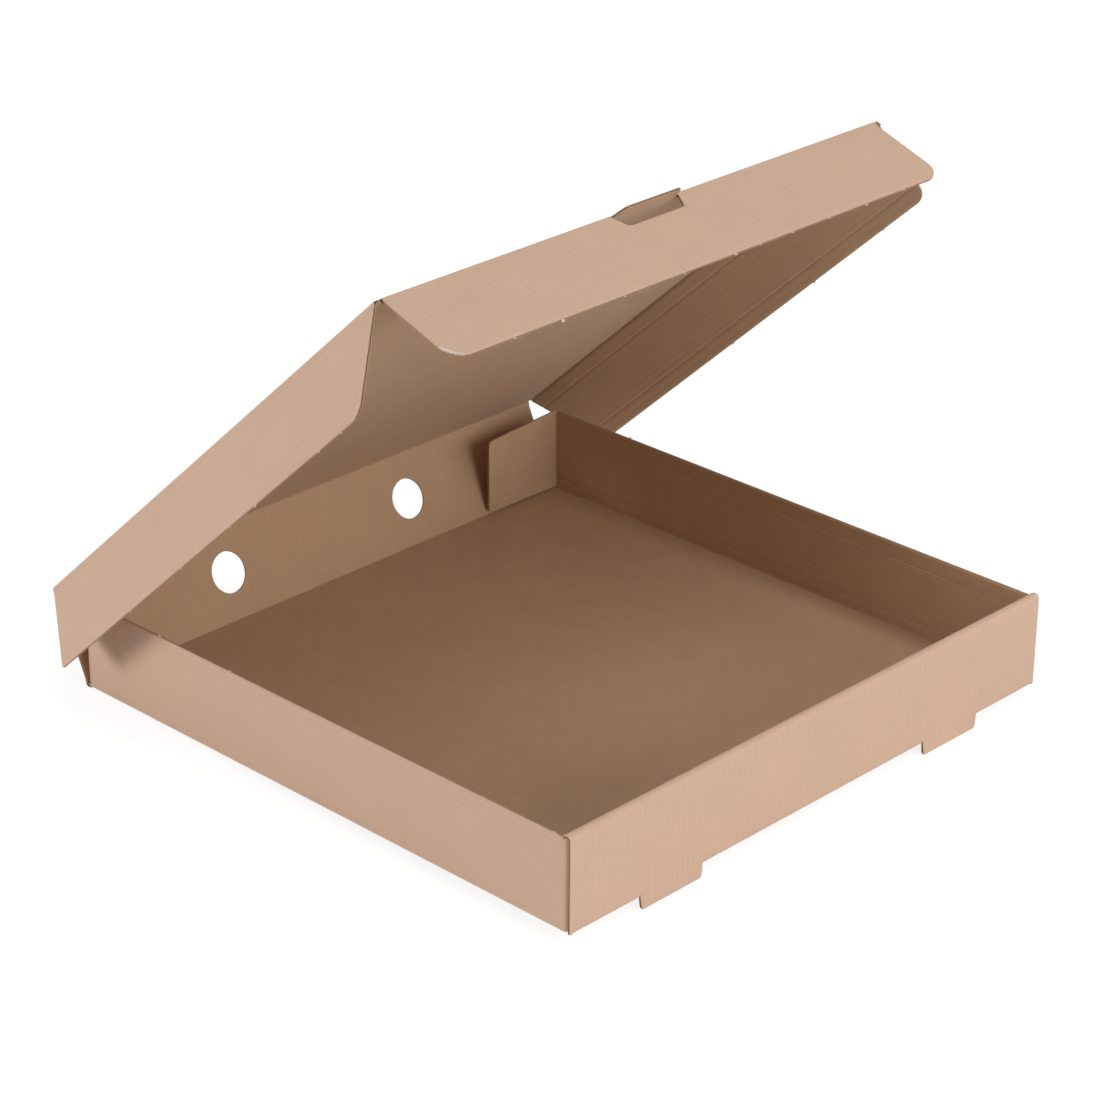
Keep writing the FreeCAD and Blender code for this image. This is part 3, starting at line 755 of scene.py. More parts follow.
def front_flap(shape, board):
    """The lid's front flap with the notch that the tongue leaves."""
    surface = flat(FRONT_FOLD, X, FRONT_DOWN, np.cross(FRONT_DOWN, X))
    wide = shape.tongue_root / 2 + shape.tongue_play
    narrow = shape.tongue_tip / 2 + shape.tongue_play
    deep = shape.tongue_reach + shape.tongue_play
    reach = shape.reach
    depth = shape.flap_depth
    corner = shape.front_corner
    notch = shape.notch_radius
    low_corners = [(-FLAP_END, reach), (-wide, reach), (-narrow, deep), (narrow, deep), (wide, reach),
                   (FLAP_END, reach)]
    low, low_marks = edge_through(low_corners, [0, notch, notch, 0])
    high_corners = [(-FLAP_END - HAIR, reach), (-FLAP_END, depth), (FLAP_END, depth), (FLAP_END + HAIR, reach)]
    high, high_marks = edge_through(high_corners, [corner, corner])
    bends = np.concatenate((near_edges(reach, depth), (deep,)))
    rows = np.concatenate((bends, np.linspace(deep, depth - corner, 4), (depth - corner / 3, deep / 2)))
    marks = np.concatenate((low_marks, high_marks))
    return Stretch(surface, (-FLAP_END, FLAP_END), rows, low, high, marks,
                   pinch=(0.25, 0.25, 0.4, 0.4), inner_rows=bends)


def side_flap(shape, board, side, down):
    """A side flap of the lid. u runs from the fold to the free edge and v along the lid."""
    outward = np.cross(DOWN_LID, down) * side
    surface = flat(LID_FOLD + side * SIDE_FOLD * X, down, DOWN_LID, outward)
    depth = shape.flap_depth
    reach = shape.reach
    front = LID_LENGTH - shape.side_gap
    back_corners = [(reach, reach), (depth, reach + shape.back_cut), (depth + HAIR, front / 2)]
    low, low_marks = edge_through(back_corners, [shape.back_corner])
    front_corners = [(reach, front), (depth, front - shape.front_cut), (depth + HAIR, front / 2)]
    high, high_marks = edge_through(front_corners, [shape.side_corner])
    rows = np.concatenate((np.linspace(reach, front, 24), near_edges(reach, front)))
    crushed = [board.crush_inset, depth - board.crush_inset]
    marks = np.concatenate((low_marks, high_marks))
    return Stretch(surface, (reach, depth), rows, low, high, marks, pinch=(0.25, 0.25, 0.3, 0.4), crushed=crushed)


def fold_strip(name, axis_start, axis_end, away_a, out_a, away_b, out_b, seed, reach=0.0022):
    """The creased liners over a fold that swings.

    Outside, the liner leaves panel a, goes round the axis on an arc of half the board's thickness and
    ends on panel b. Inside, it fills the corner between the panels with a small round."""
    board = bpy.context.scene.box_board
    half = board.thickness / 2
    proud = 0.00002
    turn = math.acos(float(np.clip(out_a @ out_b, -1, 1)))
    angles = np.linspace(0, turn, 9)
    fan = (np.sin(turn - angles)[:, None] * out_a + np.sin(angles)[:, None] * out_b) / math.sin(turn)
    outer_normals = np.vstack((out_a, fan, out_b))
    outer = fan * (half + proud)
    outer = np.vstack((away_a * reach + out_a * (half + proud), outer, away_b * reach + out_b * (half + proud)))
    inset = half * math.tan(turn / 2)
    lead = inset + 0.0005
    share = np.linspace(0, 1, 7)[:, None]
    ends = (away_a * lead - out_a * (half + proud), away_b * lead - out_b * (half + proud))
    tip = -unit(out_a + out_b) * (half + proud) / math.cos(turn / 2)
    curve = (1 - share) ** 2 * ends[0] + 2 * share * (1 - share) * tip + share**2 * ends[1]
    blend_normals = unit_rows((1 - share) * out_a + share * out_b)
    inner = np.vstack((away_a * reach - out_a * (half + proud), curve, away_b * reach - out_b * (half + proud)))
    inner_normals = np.vstack((out_a, blend_normals, out_b))
    span = axis_end - axis_start
    size = float(np.linalg.norm(span))
    steps = max(2, int(size / 0.0025))
    along = np.linspace(0, 1, steps)
    shells = []
    for line, normals, sign in ((outer, outer_normals, 1), (inner, inner_normals, -1)):
        ripple = (uneven(along * size * 4, along * 0, seed + sign) - 0.5) * 0.00006
        flange = np.ones(len(line))
        flange[[0, -1]] = 0
        place = axis_start + along[:, None, None] * span + line[None, :, :]
        place = place + (ripple[:, None] * flange[None, :])[..., None] * normals[None, :, :]
        normal = np.broadcast_to(normals, place.shape)
        run = np.concatenate(((0,), np.cumsum(np.linalg.norm(np.diff(line, axis=0), axis=1))))
        uv = np.stack(np.meshgrid(along * size, run, indexing="ij"), axis=-1).reshape(-1, 2)
        count = len(line)
        index = np.arange(steps * count).reshape(steps, count)
        a, b, c, d = (part.ravel() for part in (index[:-1, :-1], index[1:, :-1], index[1:, 1:], index[:-1, 1:]))
        triangles = np.concatenate((np.stack((a, b, c), axis=1), np.stack((a, c, d), axis=1)))
        flat_place = place.reshape(-1, 3)
        flat_normal = normal.reshape(-1, 3)
        cross = np.cross(flat_place[b[0]] - flat_place[a[0]], flat_place[d[0]] - flat_place[a[0]])
        if cross @ flat_normal[0] < 0:
            triangles = triangles[:, ::-1]
        inside = flat_place - sign * flat_normal * board.liner * 0.8
        if sign > 0:
            shells.append((flat_place, inside, OUTSIDE, CORE, triangles, uv))
        else:
            shells.append((inside, flat_place, CORE, INSIDE, triangles, uv))
    piece = shell_piece(name, shells)
    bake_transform(piece)
    return piece


def unit_rows(rows):
    """Each row at length one."""
    return rows / np.linalg.norm(rows, axis=1, keepdims=True)


def side_crease(word, start, end, away, out, down, flap_out, seed):
    """The crease of a side flap, in two rigid pieces that slide on each other as the flap swings.

    On the lid, the outer liner ends in a quarter round about the axis, of half the board's thickness, and
    the inner liner in a bead about the same axis. On the flap, the outer liner is a flat strip that
    touches the round at every angle."""
    board = bpy.context.scene.box_board
    half = board.thickness / 2 + 0.00002
    reach = 0.0022
    angles = np.linspace(0, math.pi / 2, 10)[:, None]
    fan = np.cos(angles) * out - np.sin(angles) * away
    turns = np.linspace(-0.6, math.pi / 2 + 0.6, 14)[:, None]
    bead = np.sin(turns) * away - np.cos(turns) * out
    lid_lines = (
        (np.vstack((away * reach + out * half, fan * (half - 0.000003))), np.vstack((out, fan)), OUTSIDE),
        (bead * (half - 0.00005), bead, INSIDE),
    )
    flap_lines = ((np.vstack((flap_out * half, down * reach + flap_out * half)),
                   np.vstack((flap_out, flap_out)), OUTSIDE),)
    for name, lines, body in ((f"{word}_crease", lid_lines, "lid"), (f"{word}_flap_crease", flap_lines, f"{word}_flap")):
        shells = [swept_liner(start, end, line, normals, slot, seed) for line, normals, slot in lines]
        piece = shell_piece(name, shells)
        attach(piece, body)


def swept_liner(start, end, line, normals, slot, seed):
    """A liner along a fold: a line of points and outward normals carried from start to end, with a slow
    ripple along its length. The line's two ends keep still."""
    board = bpy.context.scene.box_board
    span = end - start
    size = float(np.linalg.norm(span))
    along = np.linspace(0, 1, max(2, int(size / 0.0025)))
    ripple = (uneven(along * size * 4, along * 0, seed) - 0.5) * 0.00006
    free = np.ones(len(line))
    free[[0, -1]] = 0
    place = start + along[:, None, None] * span + line[None, :, :]
    place = place + (ripple[:, None] * free[None, :])[..., None] * normals[None, :, :]
    run = np.concatenate(((0,), np.cumsum(np.linalg.norm(np.diff(line, axis=0), axis=1))))
    uv = np.stack(np.meshgrid(along * size, run, indexing="ij"), axis=-1).reshape(-1, 2)
    index = np.arange(len(along) * len(line)).reshape(len(along), len(line))
    a, b, c, d = (part.ravel() for part in (index[:-1, :-1], index[1:, :-1], index[1:, 1:], index[:-1, 1:]))
    triangles = np.concatenate((np.stack((a, b, c), axis=1), np.stack((a, c, d), axis=1)))
    top = place.reshape(-1, 3)
    normal = np.broadcast_to(normals, place.shape).reshape(-1, 3)
    if np.cross(top[b[0]] - top[a[0]], top[d[0]] - top[a[0]]) @ normal[0] < 0:
        triangles = triangles[:, ::-1]
    return top, top - normal * board.liner * 0.8, slot, CORE, triangles, uv


def torn_nick(place, along, away, out, size, draw):
    """A tuft of torn paper on a cut edge: a fan of points whose reach jumps with the angle."""
    board = bpy.context.scene.box_board
    spokes = 11
    turn = np.linspace(0, math.pi, spokes)
    reach = size * draw.uniform(0.35, 1.0, spokes) * (0.35 + 0.65 * np.sin(turn))
    rings = np.array((0.0, 0.45, 1.0))
    lift = draw.uniform(-0.35, 0.35)
    side = np.cos(turn)[:, None] * 1.35
    fan = side * along + np.sin(turn)[:, None] * away
    grid = place + rings[None, :, None] * reach[:, None, None] * fan[:, None, :]
    grid = grid + (rings[None, :] ** 2 * reach[:, None] * lift)[..., None] * out - away * 0.0002
    index = np.arange(spokes * 3).reshape(spokes, 3)
    a, b, c, d = (part.ravel() for part in (index[:-1, :-1], index[1:, :-1], index[1:, 1:], index[:-1, 1:]))
    triangles = np.concatenate((np.stack((a, b, c), axis=1), np.stack((a, c, d), axis=1)))
    triangles[triangles % 3 == 0] = 0
    ok = (triangles[:, 0] != triangles[:, 1]) & (triangles[:, 1] != triangles[:, 2])
    triangles = triangles[ok & (triangles[:, 0] != triangles[:, 2])]
    points = grid.reshape(-1, 3)
    first = triangles[-1]
    cross = np.cross(points[first[1]] - points[first[0]], points[first[2]] - points[first[0]])
    if cross @ out < 0:
        triangles = triangles[:, ::-1]
    depth = board.thickness * draw.uniform(0.3, 0.6)
    used, packed = np.unique(triangles, return_inverse=True)
    thin = np.where(used == 0, depth, depth * 0.25)
    top = points[used] + out * (thin * 0.6)[:, None]
    bottom = points[used] - out * (thin * 0.4)[:, None]
    uv = np.stack((used * 0.0003, used * 0.0002), axis=1)
    return top, bottom, OUTSIDE, INSIDE, packed.reshape(-1, 3), uv


def nick_group(name, body, places, start, along, away, out, seed):
    """All the torn nicks of one cut edge, at distances along it with a size each."""
    draw = np.random.default_rng(seed)
    shells = [torn_nick(start + along * far, along, away, out, size, draw) for far, size in places]
    piece = shell_piece(name, shells)
    worn(piece)
    dressed(piece, body)


def scuffed_corner(name, body, middle, along, away, out, radius, turn_from, turn_to, width):
    """Liner scuffed to pale fibre along a rounded corner.

    The patch follows an arc about the corner's middle. Its reach inwards is half a sine wave along the
    arc, times a jagged draw, and its height is a small draw above the liner."""
    board = bpy.context.scene.box_board
    draw = np.random.default_rng(61)
    steps = 72
    share = np.linspace(0, 1, steps)
    turn = turn_from + (turn_to - turn_from) * share
    reach = width * np.sin(math.pi * share) ** 0.6 * draw.uniform(0.45, 1.0, steps) + 0.0001
    rows = np.array((-0.0001, 0.0001, 0.0004, 0.001, 0.0016, 0.0022)) / 0.0022
    inward = np.where(rows[None, :] < 0.06, rows[None, :] * 0.0022, rows[None, :] * reach[:, None])
    ray = np.cos(turn)[:, None] * along + np.sin(turn)[:, None] * away
    place = middle + ray[:, None, :] * (radius - inward)[..., None]
    lift = board.thickness / 2 + draw.uniform(-0.00012, 0.00012, inward.shape)
    lift = lift - 0.0003 * np.exp(-((inward / 0.0005) ** 2))
    lift[:, -1] = board.thickness / 2 - 0.00008
    index = np.arange(inward.size).reshape(inward.shape)
    a, b, c, d = (part.ravel() for part in (index[:-1, :-1], index[1:, :-1], index[1:, 1:], index[:-1, 1:]))
    triangles = np.concatenate((np.stack((a, b, c), axis=1), np.stack((a, c, d), axis=1)))
    top = (place + lift[..., None] * out).reshape(-1, 3)
    if np.cross(top[b[0]] - top[a[0]], top[d[0]] - top[a[0]]) @ out < 0:
        triangles = triangles[:, ::-1]
    bottom = top - out * 0.0002
    uv = np.stack((np.broadcast_to((share * radius)[:, None], inward.shape).ravel(), inward.ravel()), axis=1)
    piece = shell_piece(name, [(top, bottom, OUTSIDE, INSIDE, triangles, uv)])
    worn(piece)
    dressed(piece, body)


def worn(piece):
    """Gives every face of a piece the torn paper."""
    piece.data.materials.clear()
    for material in (torn_material(),) * 3:
        piece.data.materials.append(material)


def node(tree, kind, place, **values):
    """A shader node at a place, with its settings and its plain inputs."""
    made = tree.nodes.new(kind)
    made.location = place
    for key, value in values.items():
        if hasattr(made, key):
            setattr(made, key, value)
        else:
            made.inputs[key.replace("_", " ")].default_value = value
    return made


def math_node(tree, operation, place, first, second=None):
    """A maths node between two values, each a socket or a number."""
    made = node(tree, "ShaderNodeMath", place, operation=operation)
    for index, value in enumerate((first, second)):
        if value is None:
            continue
        if isinstance(value, bpy.types.NodeSocket):
            tree.links.new(value, made.inputs[index])
        else:
            made.inputs[index].default_value = value
    return made.outputs[0]


def mixed(tree, place, share, first, second, kind="MIX"):
    """A colour between two, each a socket or a colour."""
    made = node(tree, "ShaderNodeMix", place, data_type="RGBA", blend_type=kind, clamp_result=True)
    for index, value in ((0, share), (6, first), (7, second)):
        if isinstance(value, bpy.types.NodeSocket):
            tree.links.new(value, made.inputs[index])
        elif index:
            made.inputs[index].default_value = (*value[:3], 1)
        else:
            made.inputs[index].default_value = value
    return made.outputs[2]


def ramp(tree, place, value, low, high):
    """A value stretched so that low gives 0 and high gives 1."""
    made = node(tree, "ShaderNodeMapRange", place, clamp=True, interpolation_type="SMOOTHSTEP")
    tree.links.new(value, made.inputs["Value"])
    made.inputs["From Min"].default_value = low
    made.inputs["From Max"].default_value = high
    return made.outputs["Result"]


def noise(tree, place, vector, scale, detail=2.0, roughness=0.55):
    """A noise value over a vector."""
    made = node(tree, "ShaderNodeTexNoise", place, Scale=scale, Detail=detail, Roughness=roughness)
    tree.links.new(vector, made.inputs["Vector"])
    return made.outputs["Fac"]


def stretched(tree, place, vector, scale, turn):
    """A vector turned and scaled, for fibres that are longer than wide."""
    made = node(tree, "ShaderNodeMapping", place)
    made.inputs["Scale"].default_value = scale
    made.inputs["Rotation"].default_value = (0, 0, turn)
    tree.links.new(vector, made.inputs["Vector"])
    return made.outputs["Vector"]


def new_group(name, inputs, outputs):
    """A shader node group with named sockets, and its two end nodes."""
    tree = bpy.data.node_groups.new(name, "ShaderNodeTree")
    for label, kind, value in inputs:
        socket = tree.interface.new_socket(name=label, in_out="INPUT", socket_type=kind)
        if value is not None:
            socket.default_value = value
    for label, kind in outputs:
        tree.interface.new_socket(name=label, in_out="OUTPUT", socket_type=kind)
    start = node(tree, "NodeGroupInput", (-1500, 0))
    end = node(tree, "NodeGroupOutput", (900, 0))
    return tree, start.outputs, end.inputs


def fibre_group():
    """Kraft paper: slow clouds, fine grain, long fibres two ways and rare dark and pale flecks."""
    name = "Kraft fibres"
    if name in bpy.data.node_groups:
        return bpy.data.node_groups[name]
    tree, given, out = new_group(
        name,
        [
            ("Vector", "NodeSocketVector", None),
            ("Flutes", "NodeSocketVector", None),
            ("Paper", "NodeSocketColor", (0.5, 0.35, 0.25, 1)),
            ("Fleck", "NodeSocketColor", (0.15, 0.08, 0.04, 1)),
            ("Clouds", "NodeSocketFloat", 0.1),
            ("Grain", "NodeSocketFloat", 0.1),
            ("Flecks", "NodeSocketFloat", 0.5),
        ],
        [("Color", "NodeSocketColor"), ("Height", "NodeSocketFloat"), ("Roughness", "NodeSocketFloat")],
    )
    clouds = noise(tree, (-1200, 500), given["Vector"], 55.0, 4.0, 0.6)
    grain = noise(tree, (-1200, 300), given["Vector"], 900.0, 3.0, 0.7)
    one = noise(tree, (-900, 100), stretched(tree, (-1150, 100), given["Flutes"], (3200, 420, 1), 0.5), 1.0, 2.0)
    two = noise(tree, (-900, -100), stretched(tree, (-1150, -100), given["Flutes"], (3000, 380, 1), -0.7), 1.0, 2.0)
    three = noise(tree, (-900, -300), stretched(tree, (-1150, -300), given["Flutes"], (420, 3300, 1), 0.15), 1.0, 2.0)
    dark_fibre = ramp(tree, (-650, 100), math_node(tree, "MAXIMUM", (-750, 0), one, two), 0.64, 0.74)
    pale_fibre = ramp(tree, (-650, -300), three, 0.62, 0.74)
    cells = node(tree, "ShaderNodeTexVoronoi", (-1200, -550), Scale=520.0, Randomness=1.0)
    tree.links.new(given["Vector"], cells.inputs["Vector"])
    split = node(tree, "ShaderNodeSeparateColor", (-1000, -700))
    tree.links.new(cells.outputs["Color"], split.inputs[0])
    rare = ramp(tree, (-800, -700), split.outputs[0], 0.80, 0.95)
    spot = math_node(tree, "SUBTRACT", (-650, -550), 1.0, ramp(tree, (-800, -500), cells.outputs["Distance"], 0.1, 0.2))
    fleck = math_node(tree, "MULTIPLY", (-450, -600), spot, rare)
    fleck = math_node(tree, "MULTIPLY", (-300, -600), fleck, given["Flecks"])
    tone = math_node(tree, "MULTIPLY", (-450, 500), math_node(tree, "SUBTRACT", (-600, 500), clouds, 0.5), given["Clouds"])
    fine = math_node(tree, "MULTIPLY", (-450, 300), math_node(tree, "SUBTRACT", (-600, 300), grain, 0.5), given["Grain"])
    shade = math_node(tree, "ADD", (-250, 400), tone, fine)
    shade = math_node(tree, "ADD", (-100, 400), shade, 1.0)
    grey = node(tree, "ShaderNodeCombineColor", (50, 400))
    for index in range(3):
        tree.links.new(shade, grey.inputs[index])
    paper = mixed(tree, (200, 300), 1.0, given["Paper"], grey.outputs[0], "MULTIPLY")
    dark_share = math_node(tree, "MULTIPLY", (200, 100), dark_fibre, 0.16)
    paper = mixed(tree, (400, 250), dark_share, paper, given["Fleck"])
    pale_share = math_node(tree, "MULTIPLY", (400, 50), pale_fibre, 0.10)
    paper = mixed(tree, (550, 250), pale_share, paper, (0.85, 0.74, 0.62))
    paper = mixed(tree, (700, 250), fleck, paper, given["Fleck"])
    height = math_node(tree, "ADD", (400, -200), grain, math_node(tree, "MULTIPLY", (250, -250), pale_fibre, 0.5))
    height = math_node(tree, "ADD", (550, -200), height, math_node(tree, "MULTIPLY", (400, -350), dark_fibre, 0.3))
    rough = math_node(tree, "ADD", (550, -450), math_node(tree, "MULTIPLY", (400, -500), grain, 0.12), 0.72)
    tree.links.new(paper, out["Color"])
    tree.links.new(height, out["Height"])
    tree.links.new(rough, out["Roughness"])
    return tree


def flute_group():
    """Bands of painted shade along the flutes, darker in the troughs where the liner sinks: a sine of the distance
    across them, stronger and weaker by places.
    """
    name = "Flute bands"
    if name in bpy.data.node_groups:
        return bpy.data.node_groups[name]
    tree, given, out = new_group(
        name,
        [("Flutes", "NodeSocketVector", None), ("Pitch", "NodeSocketFloat", 0.00339), ("Strength", "NodeSocketFloat", 0.1)],
        [("Shade", "NodeSocketFloat"), ("Height", "NodeSocketFloat")],
    )
    split = node(tree, "ShaderNodeSeparateXYZ", (-1200, 0))
    tree.links.new(given["Flutes"], split.inputs[0])
    wobble = noise(tree, (-1200, -250), stretched(tree, (-1350, -250), given["Flutes"], (60, 12, 1), 0.0), 1.0, 2.0)
    turns = math_node(tree, "DIVIDE", (-1000, 0), split.outputs[0], given["Pitch"])
    shift = math_node(tree, "MULTIPLY", (-1000, -200), math_node(tree, "SUBTRACT", (-1100, -200), wobble, 0.5), 0.22)
    angle = math_node(tree, "MULTIPLY", (-700, 0), math_node(tree, "ADD", (-850, 0), turns, shift), 2 * math.pi)
    wave = math_node(tree, "SINE", (-550, 0), angle)
    patchy = noise(tree, (-800, -400), stretched(tree, (-1000, -450), given["Flutes"], (170, 22, 1), 0.0), 1.0, 3.0)
    share = math_node(tree, "MULTIPLY", (-300, -200), ramp(tree, (-550, -350), patchy, 0.25, 0.75), given["Strength"])
    # The wave times its share is painted shade: darker in the flute troughs, lighter on the crests.
    shade = math_node(tree, "MULTIPLY", (-100, 0), wave, share)
    tree.links.new(math_node(tree, "ADD", (100, 0), shade, 1.0), out["Shade"])
    tree.links.new(math_node(tree, "MULTIPLY", (100, -200), wave, ramp(tree, (-300, -500), patchy, 0.1, 0.8)), out["Height"])
    return tree


def card_material(name, paper, clouds, grain, flecks, bands, relief):
    """A matt kraft paper that reads its own UV map for what follows the flutes."""
    if name in bpy.data.materials:
        return bpy.data.materials[name]
    finish = bpy.context.scene.box_finish
    board = bpy.context.scene.box_board
    material = bpy.data.materials.new(name)
    material.use_nodes = True
    tree = material.node_tree
    tree.nodes.clear()
    end = node(tree, "ShaderNodeOutputMaterial", (900, 0))
    shader = node(tree, "ShaderNodeBsdfPrincipled", (600, 0))
    shader.inputs["Specular IOR Level"].default_value = 0.25
    shader.inputs["Sheen Weight"].default_value = 0.08
    tree.links.new(shader.outputs[0], end.inputs[0])
    where = node(tree, "ShaderNodeTexCoord", (-900, 200))
    flutes = node(tree, "ShaderNodeUVMap", (-900, -100), uv_map="Flutes")
    fibres = node(tree, "ShaderNodeGroup", (-500, 200), node_tree=fibre_group())
    tree.links.new(where.outputs["Object"], fibres.inputs["Vector"])
    tree.links.new(flutes.outputs[0], fibres.inputs["Flutes"])
    fibres.inputs["Paper"].default_value = (*paper, 1)
    fibres.inputs["Fleck"].default_value = (*finish.fleck, 1)
    fibres.inputs["Clouds"].default_value = clouds
    fibres.inputs["Grain"].default_value = grain
    fibres.inputs["Flecks"].default_value = flecks
    # Painted shade between the flutes, multiplied into the paper's colour below.
    band = node(tree, "ShaderNodeGroup", (-500, -200), node_tree=flute_group())
    tree.links.new(flutes.outputs[0], band.inputs["Flutes"])
    band.inputs["Pitch"].default_value = board.pitch
    band.inputs["Strength"].default_value = bands
    grey = node(tree, "ShaderNodeCombineColor", (-200, -50))
    for index in range(3):
        tree.links.new(band.outputs["Shade"], grey.inputs[index])
    colour_out = mixed(tree, (0, 200), 1.0, fibres.outputs["Color"], grey.outputs[0], "MULTIPLY")
    tree.links.new(colour_out, shader.inputs["Base Color"])
    tree.links.new(fibres.outputs["Roughness"], shader.inputs["Roughness"])
    fine = node(tree, "ShaderNodeBump", (200, -250), Strength=0.35)
    fine.inputs["Distance"].default_value = relief
    tree.links.new(fibres.outputs["Height"], fine.inputs["Height"])
    tree.links.new(fine.outputs[0], shader.inputs["Normal"])
    return material


def card_materials():
    """The papers of a board: outside, inside and the waved core."""
    finish = bpy.context.scene.box_finish
    return (
        # The sixth number is the strength of the painted shade between the flutes.
        card_material("kraft_outside", finish.outside, 0.10, 0.16, 0.16, 0.022, 0.0001),
        card_material("kraft_inside", finish.inside, 0.16, 0.20, 0.30, 0.020, 0.0001),
        card_material("kraft_core", finish.core, 0.20, 0.30, 0.30, 0.0, 0.00015),
    )


def torn_material():
    """Pale loose fibre where the card is torn."""
    finish = bpy.context.scene.box_finish
    return card_material("kraft_torn", finish.torn, 0.2, 0.5, 0.2, 0.0, 0.0003)


class BOX_OT_tray(Operator):
    """Makes the tray: base, side walls, double front wall, feet and corner tabs"""

    bl_idname = "box.tray"
    bl_label = "Tray"

    def execute(self, context):
        shape = context.scene.box_tray
        board = context.scene.box_board
        piece = board_piece("base_and_side_walls", base_and_sides(shape, board), 3)
        dressed(piece, "tray", "tray")
        dressed(board_piece("double_front_wall", front_wall(shape, board), 5), "tray")
        for side, word in ((-1, "left"), (1, "right")):
            for back, place in ((False, "front"), (True, "back")):
                tab = board_piece(f"{word}_{place}_tab", [corner_tab(shape, board, side, back)], 7 + side)
                dressed(tab, "tray")
        return {"FINISHED"}


class BOX_OT_back_wall(Operator):
    """Makes the back wall with its two round vents"""

    bl_idname = "box.back_wall"
    bl_label = "Back wall"

    def execute(self, context):
        piece = board_piece("vented_back_wall", [back_wall(context.scene.box_tray, context.scene.box_board)], 13)
        dressed(piece, "back_wall", "back_wall")
        return {"FINISHED"}


class BOX_OT_lid(Operator):
    """Makes the lid with its tongue, and its three flaps"""

    bl_idname = "box.lid"
    bl_label = "Lid and flaps"

    def execute(self, context):
        shape = context.scene.box_lid
        board = context.scene.box_board
        dressed(board_piece("lid_board", [lid_panel(shape, board)], 17), "lid", "lid")
        dressed(board_piece("front_tuck_flap", [front_flap(shape, board)], 19), "front_flap", "front_flap")
        for side, word, down in ((-1, "left", LEFT_DOWN), (1, "right", RIGHT_DOWN)):
            flap = board_piece(f"{word}_side_flap", [side_flap(shape, board, side, down)], 23 + side)
            dressed(flap, f"{word}_flap", f"{word}_flap")
        return {"FINISHED"}


class BOX_OT_folds(Operator):
    """Makes the creased strips over the folds that swing"""

    bl_idname = "box.folds"
    bl_label = "Folds"

    def execute(self, context):
        shape = context.scene.box_lid
        wall = WALL_END * X
        fold_strip("back_crease", BACK_FOLD - wall, BACK_FOLD + wall, -Y, -Z, UP_WALL, WALL_OUT,
                   31)
        fold_strip("lid_crease", LID_FOLD - wall, LID_FOLD + wall, -UP_WALL, WALL_OUT, DOWN_LID, LID_OUT,
                   37)
        root = (shape.tongue_root / 2 + shape.tongue_play) * X
        end = FLAP_END * X
        front_out = np.cross(FRONT_DOWN, X)
        for word, first, last in (("left", -end, -root), ("right", root, end)):
            fold_strip(f"{word}_front_crease", FRONT_FOLD + first, FRONT_FOLD + last, -DOWN_LID, LID_OUT,
                       FRONT_DOWN, front_out, 41)
        for side, word, down in ((-1, "left", LEFT_DOWN), (1, "right", RIGHT_DOWN)):
            corner = LID_FOLD + side * SIDE_FOLD * X
            out = np.cross(DOWN_LID, down) * side
            end = corner + DOWN_LID * (LID_LENGTH - shape.side_gap / 2)
            side_crease(word, corner + DOWN_LID * shape.reach, end, -side * X, LID_OUT, down, out, 43 + side)
        return {"FINISHED"}


class BOX_OT_nicks(Operator):
    """Makes the torn nicks where the flat sheet was held to its waste"""

    bl_idname = "box.nicks"
    bl_label = "Torn nicks"

    def execute(self, context):
        shape = context.scene.box_lid
        depth = shape.flap_depth
        front_out = np.cross(FRONT_DOWN, X)
        front = [(far * MM, size * MM) for far, size in (
            (-117, 1.5), (-90, 1.7), (-54, 1.1), (-18, 0.9), (13, 1.3), (29, 0.8), (49, 1.2), (73, 1.3),
            (98, 1.6), (123, 1.4))]
        nick_group("front_flap_nicks", "front_flap", front, FRONT_FOLD + FRONT_DOWN * depth, X, FRONT_DOWN, front_out, 51)
        corner = shape.front_corner
        middle = FRONT_FOLD - (FLAP_END - corner) * X + (depth - corner) * FRONT_DOWN
        scuffed_corner("scuffed_corner", "front_flap", middle, -X, FRONT_DOWN, front_out, corner, 0.1, 1.25, 0.0021)
        side = [(far * MM, size * MM) for far, size in (
            (77, 1.1), (125, 1.2), (170, 1.0), (192, 1.3), (246, 1.3), (264, 1.1))]
        for sign, word, down in ((-1, "left", LEFT_DOWN), (1, "right", RIGHT_DOWN)):
            corner = LID_FOLD + sign * SIDE_FOLD * X + down * depth
            out = np.cross(DOWN_LID, down) * sign
            nick_group(f"{word}_flap_nicks", f"{word}_flap", side, corner, DOWN_LID, down, out, 53 + sign)
        top = context.scene.box_tray.side_height
        middle = SIDE_OUT - context.scene.box_board.thickness / 2
        walls = [(far * MM, size * MM) for far, size in ((-143, 0.8), (-103, 0.8), (52, 1.0), (99, 1.2))]
        for sign, word in ((-1, "left"), (1, "right")):
            start = sign * middle * X + top * Z
            nick_group(f"{word}_wall_nicks", "tray", walls, start, Y, Z, sign * X, 57 + sign)
        return {"FINISHED"}


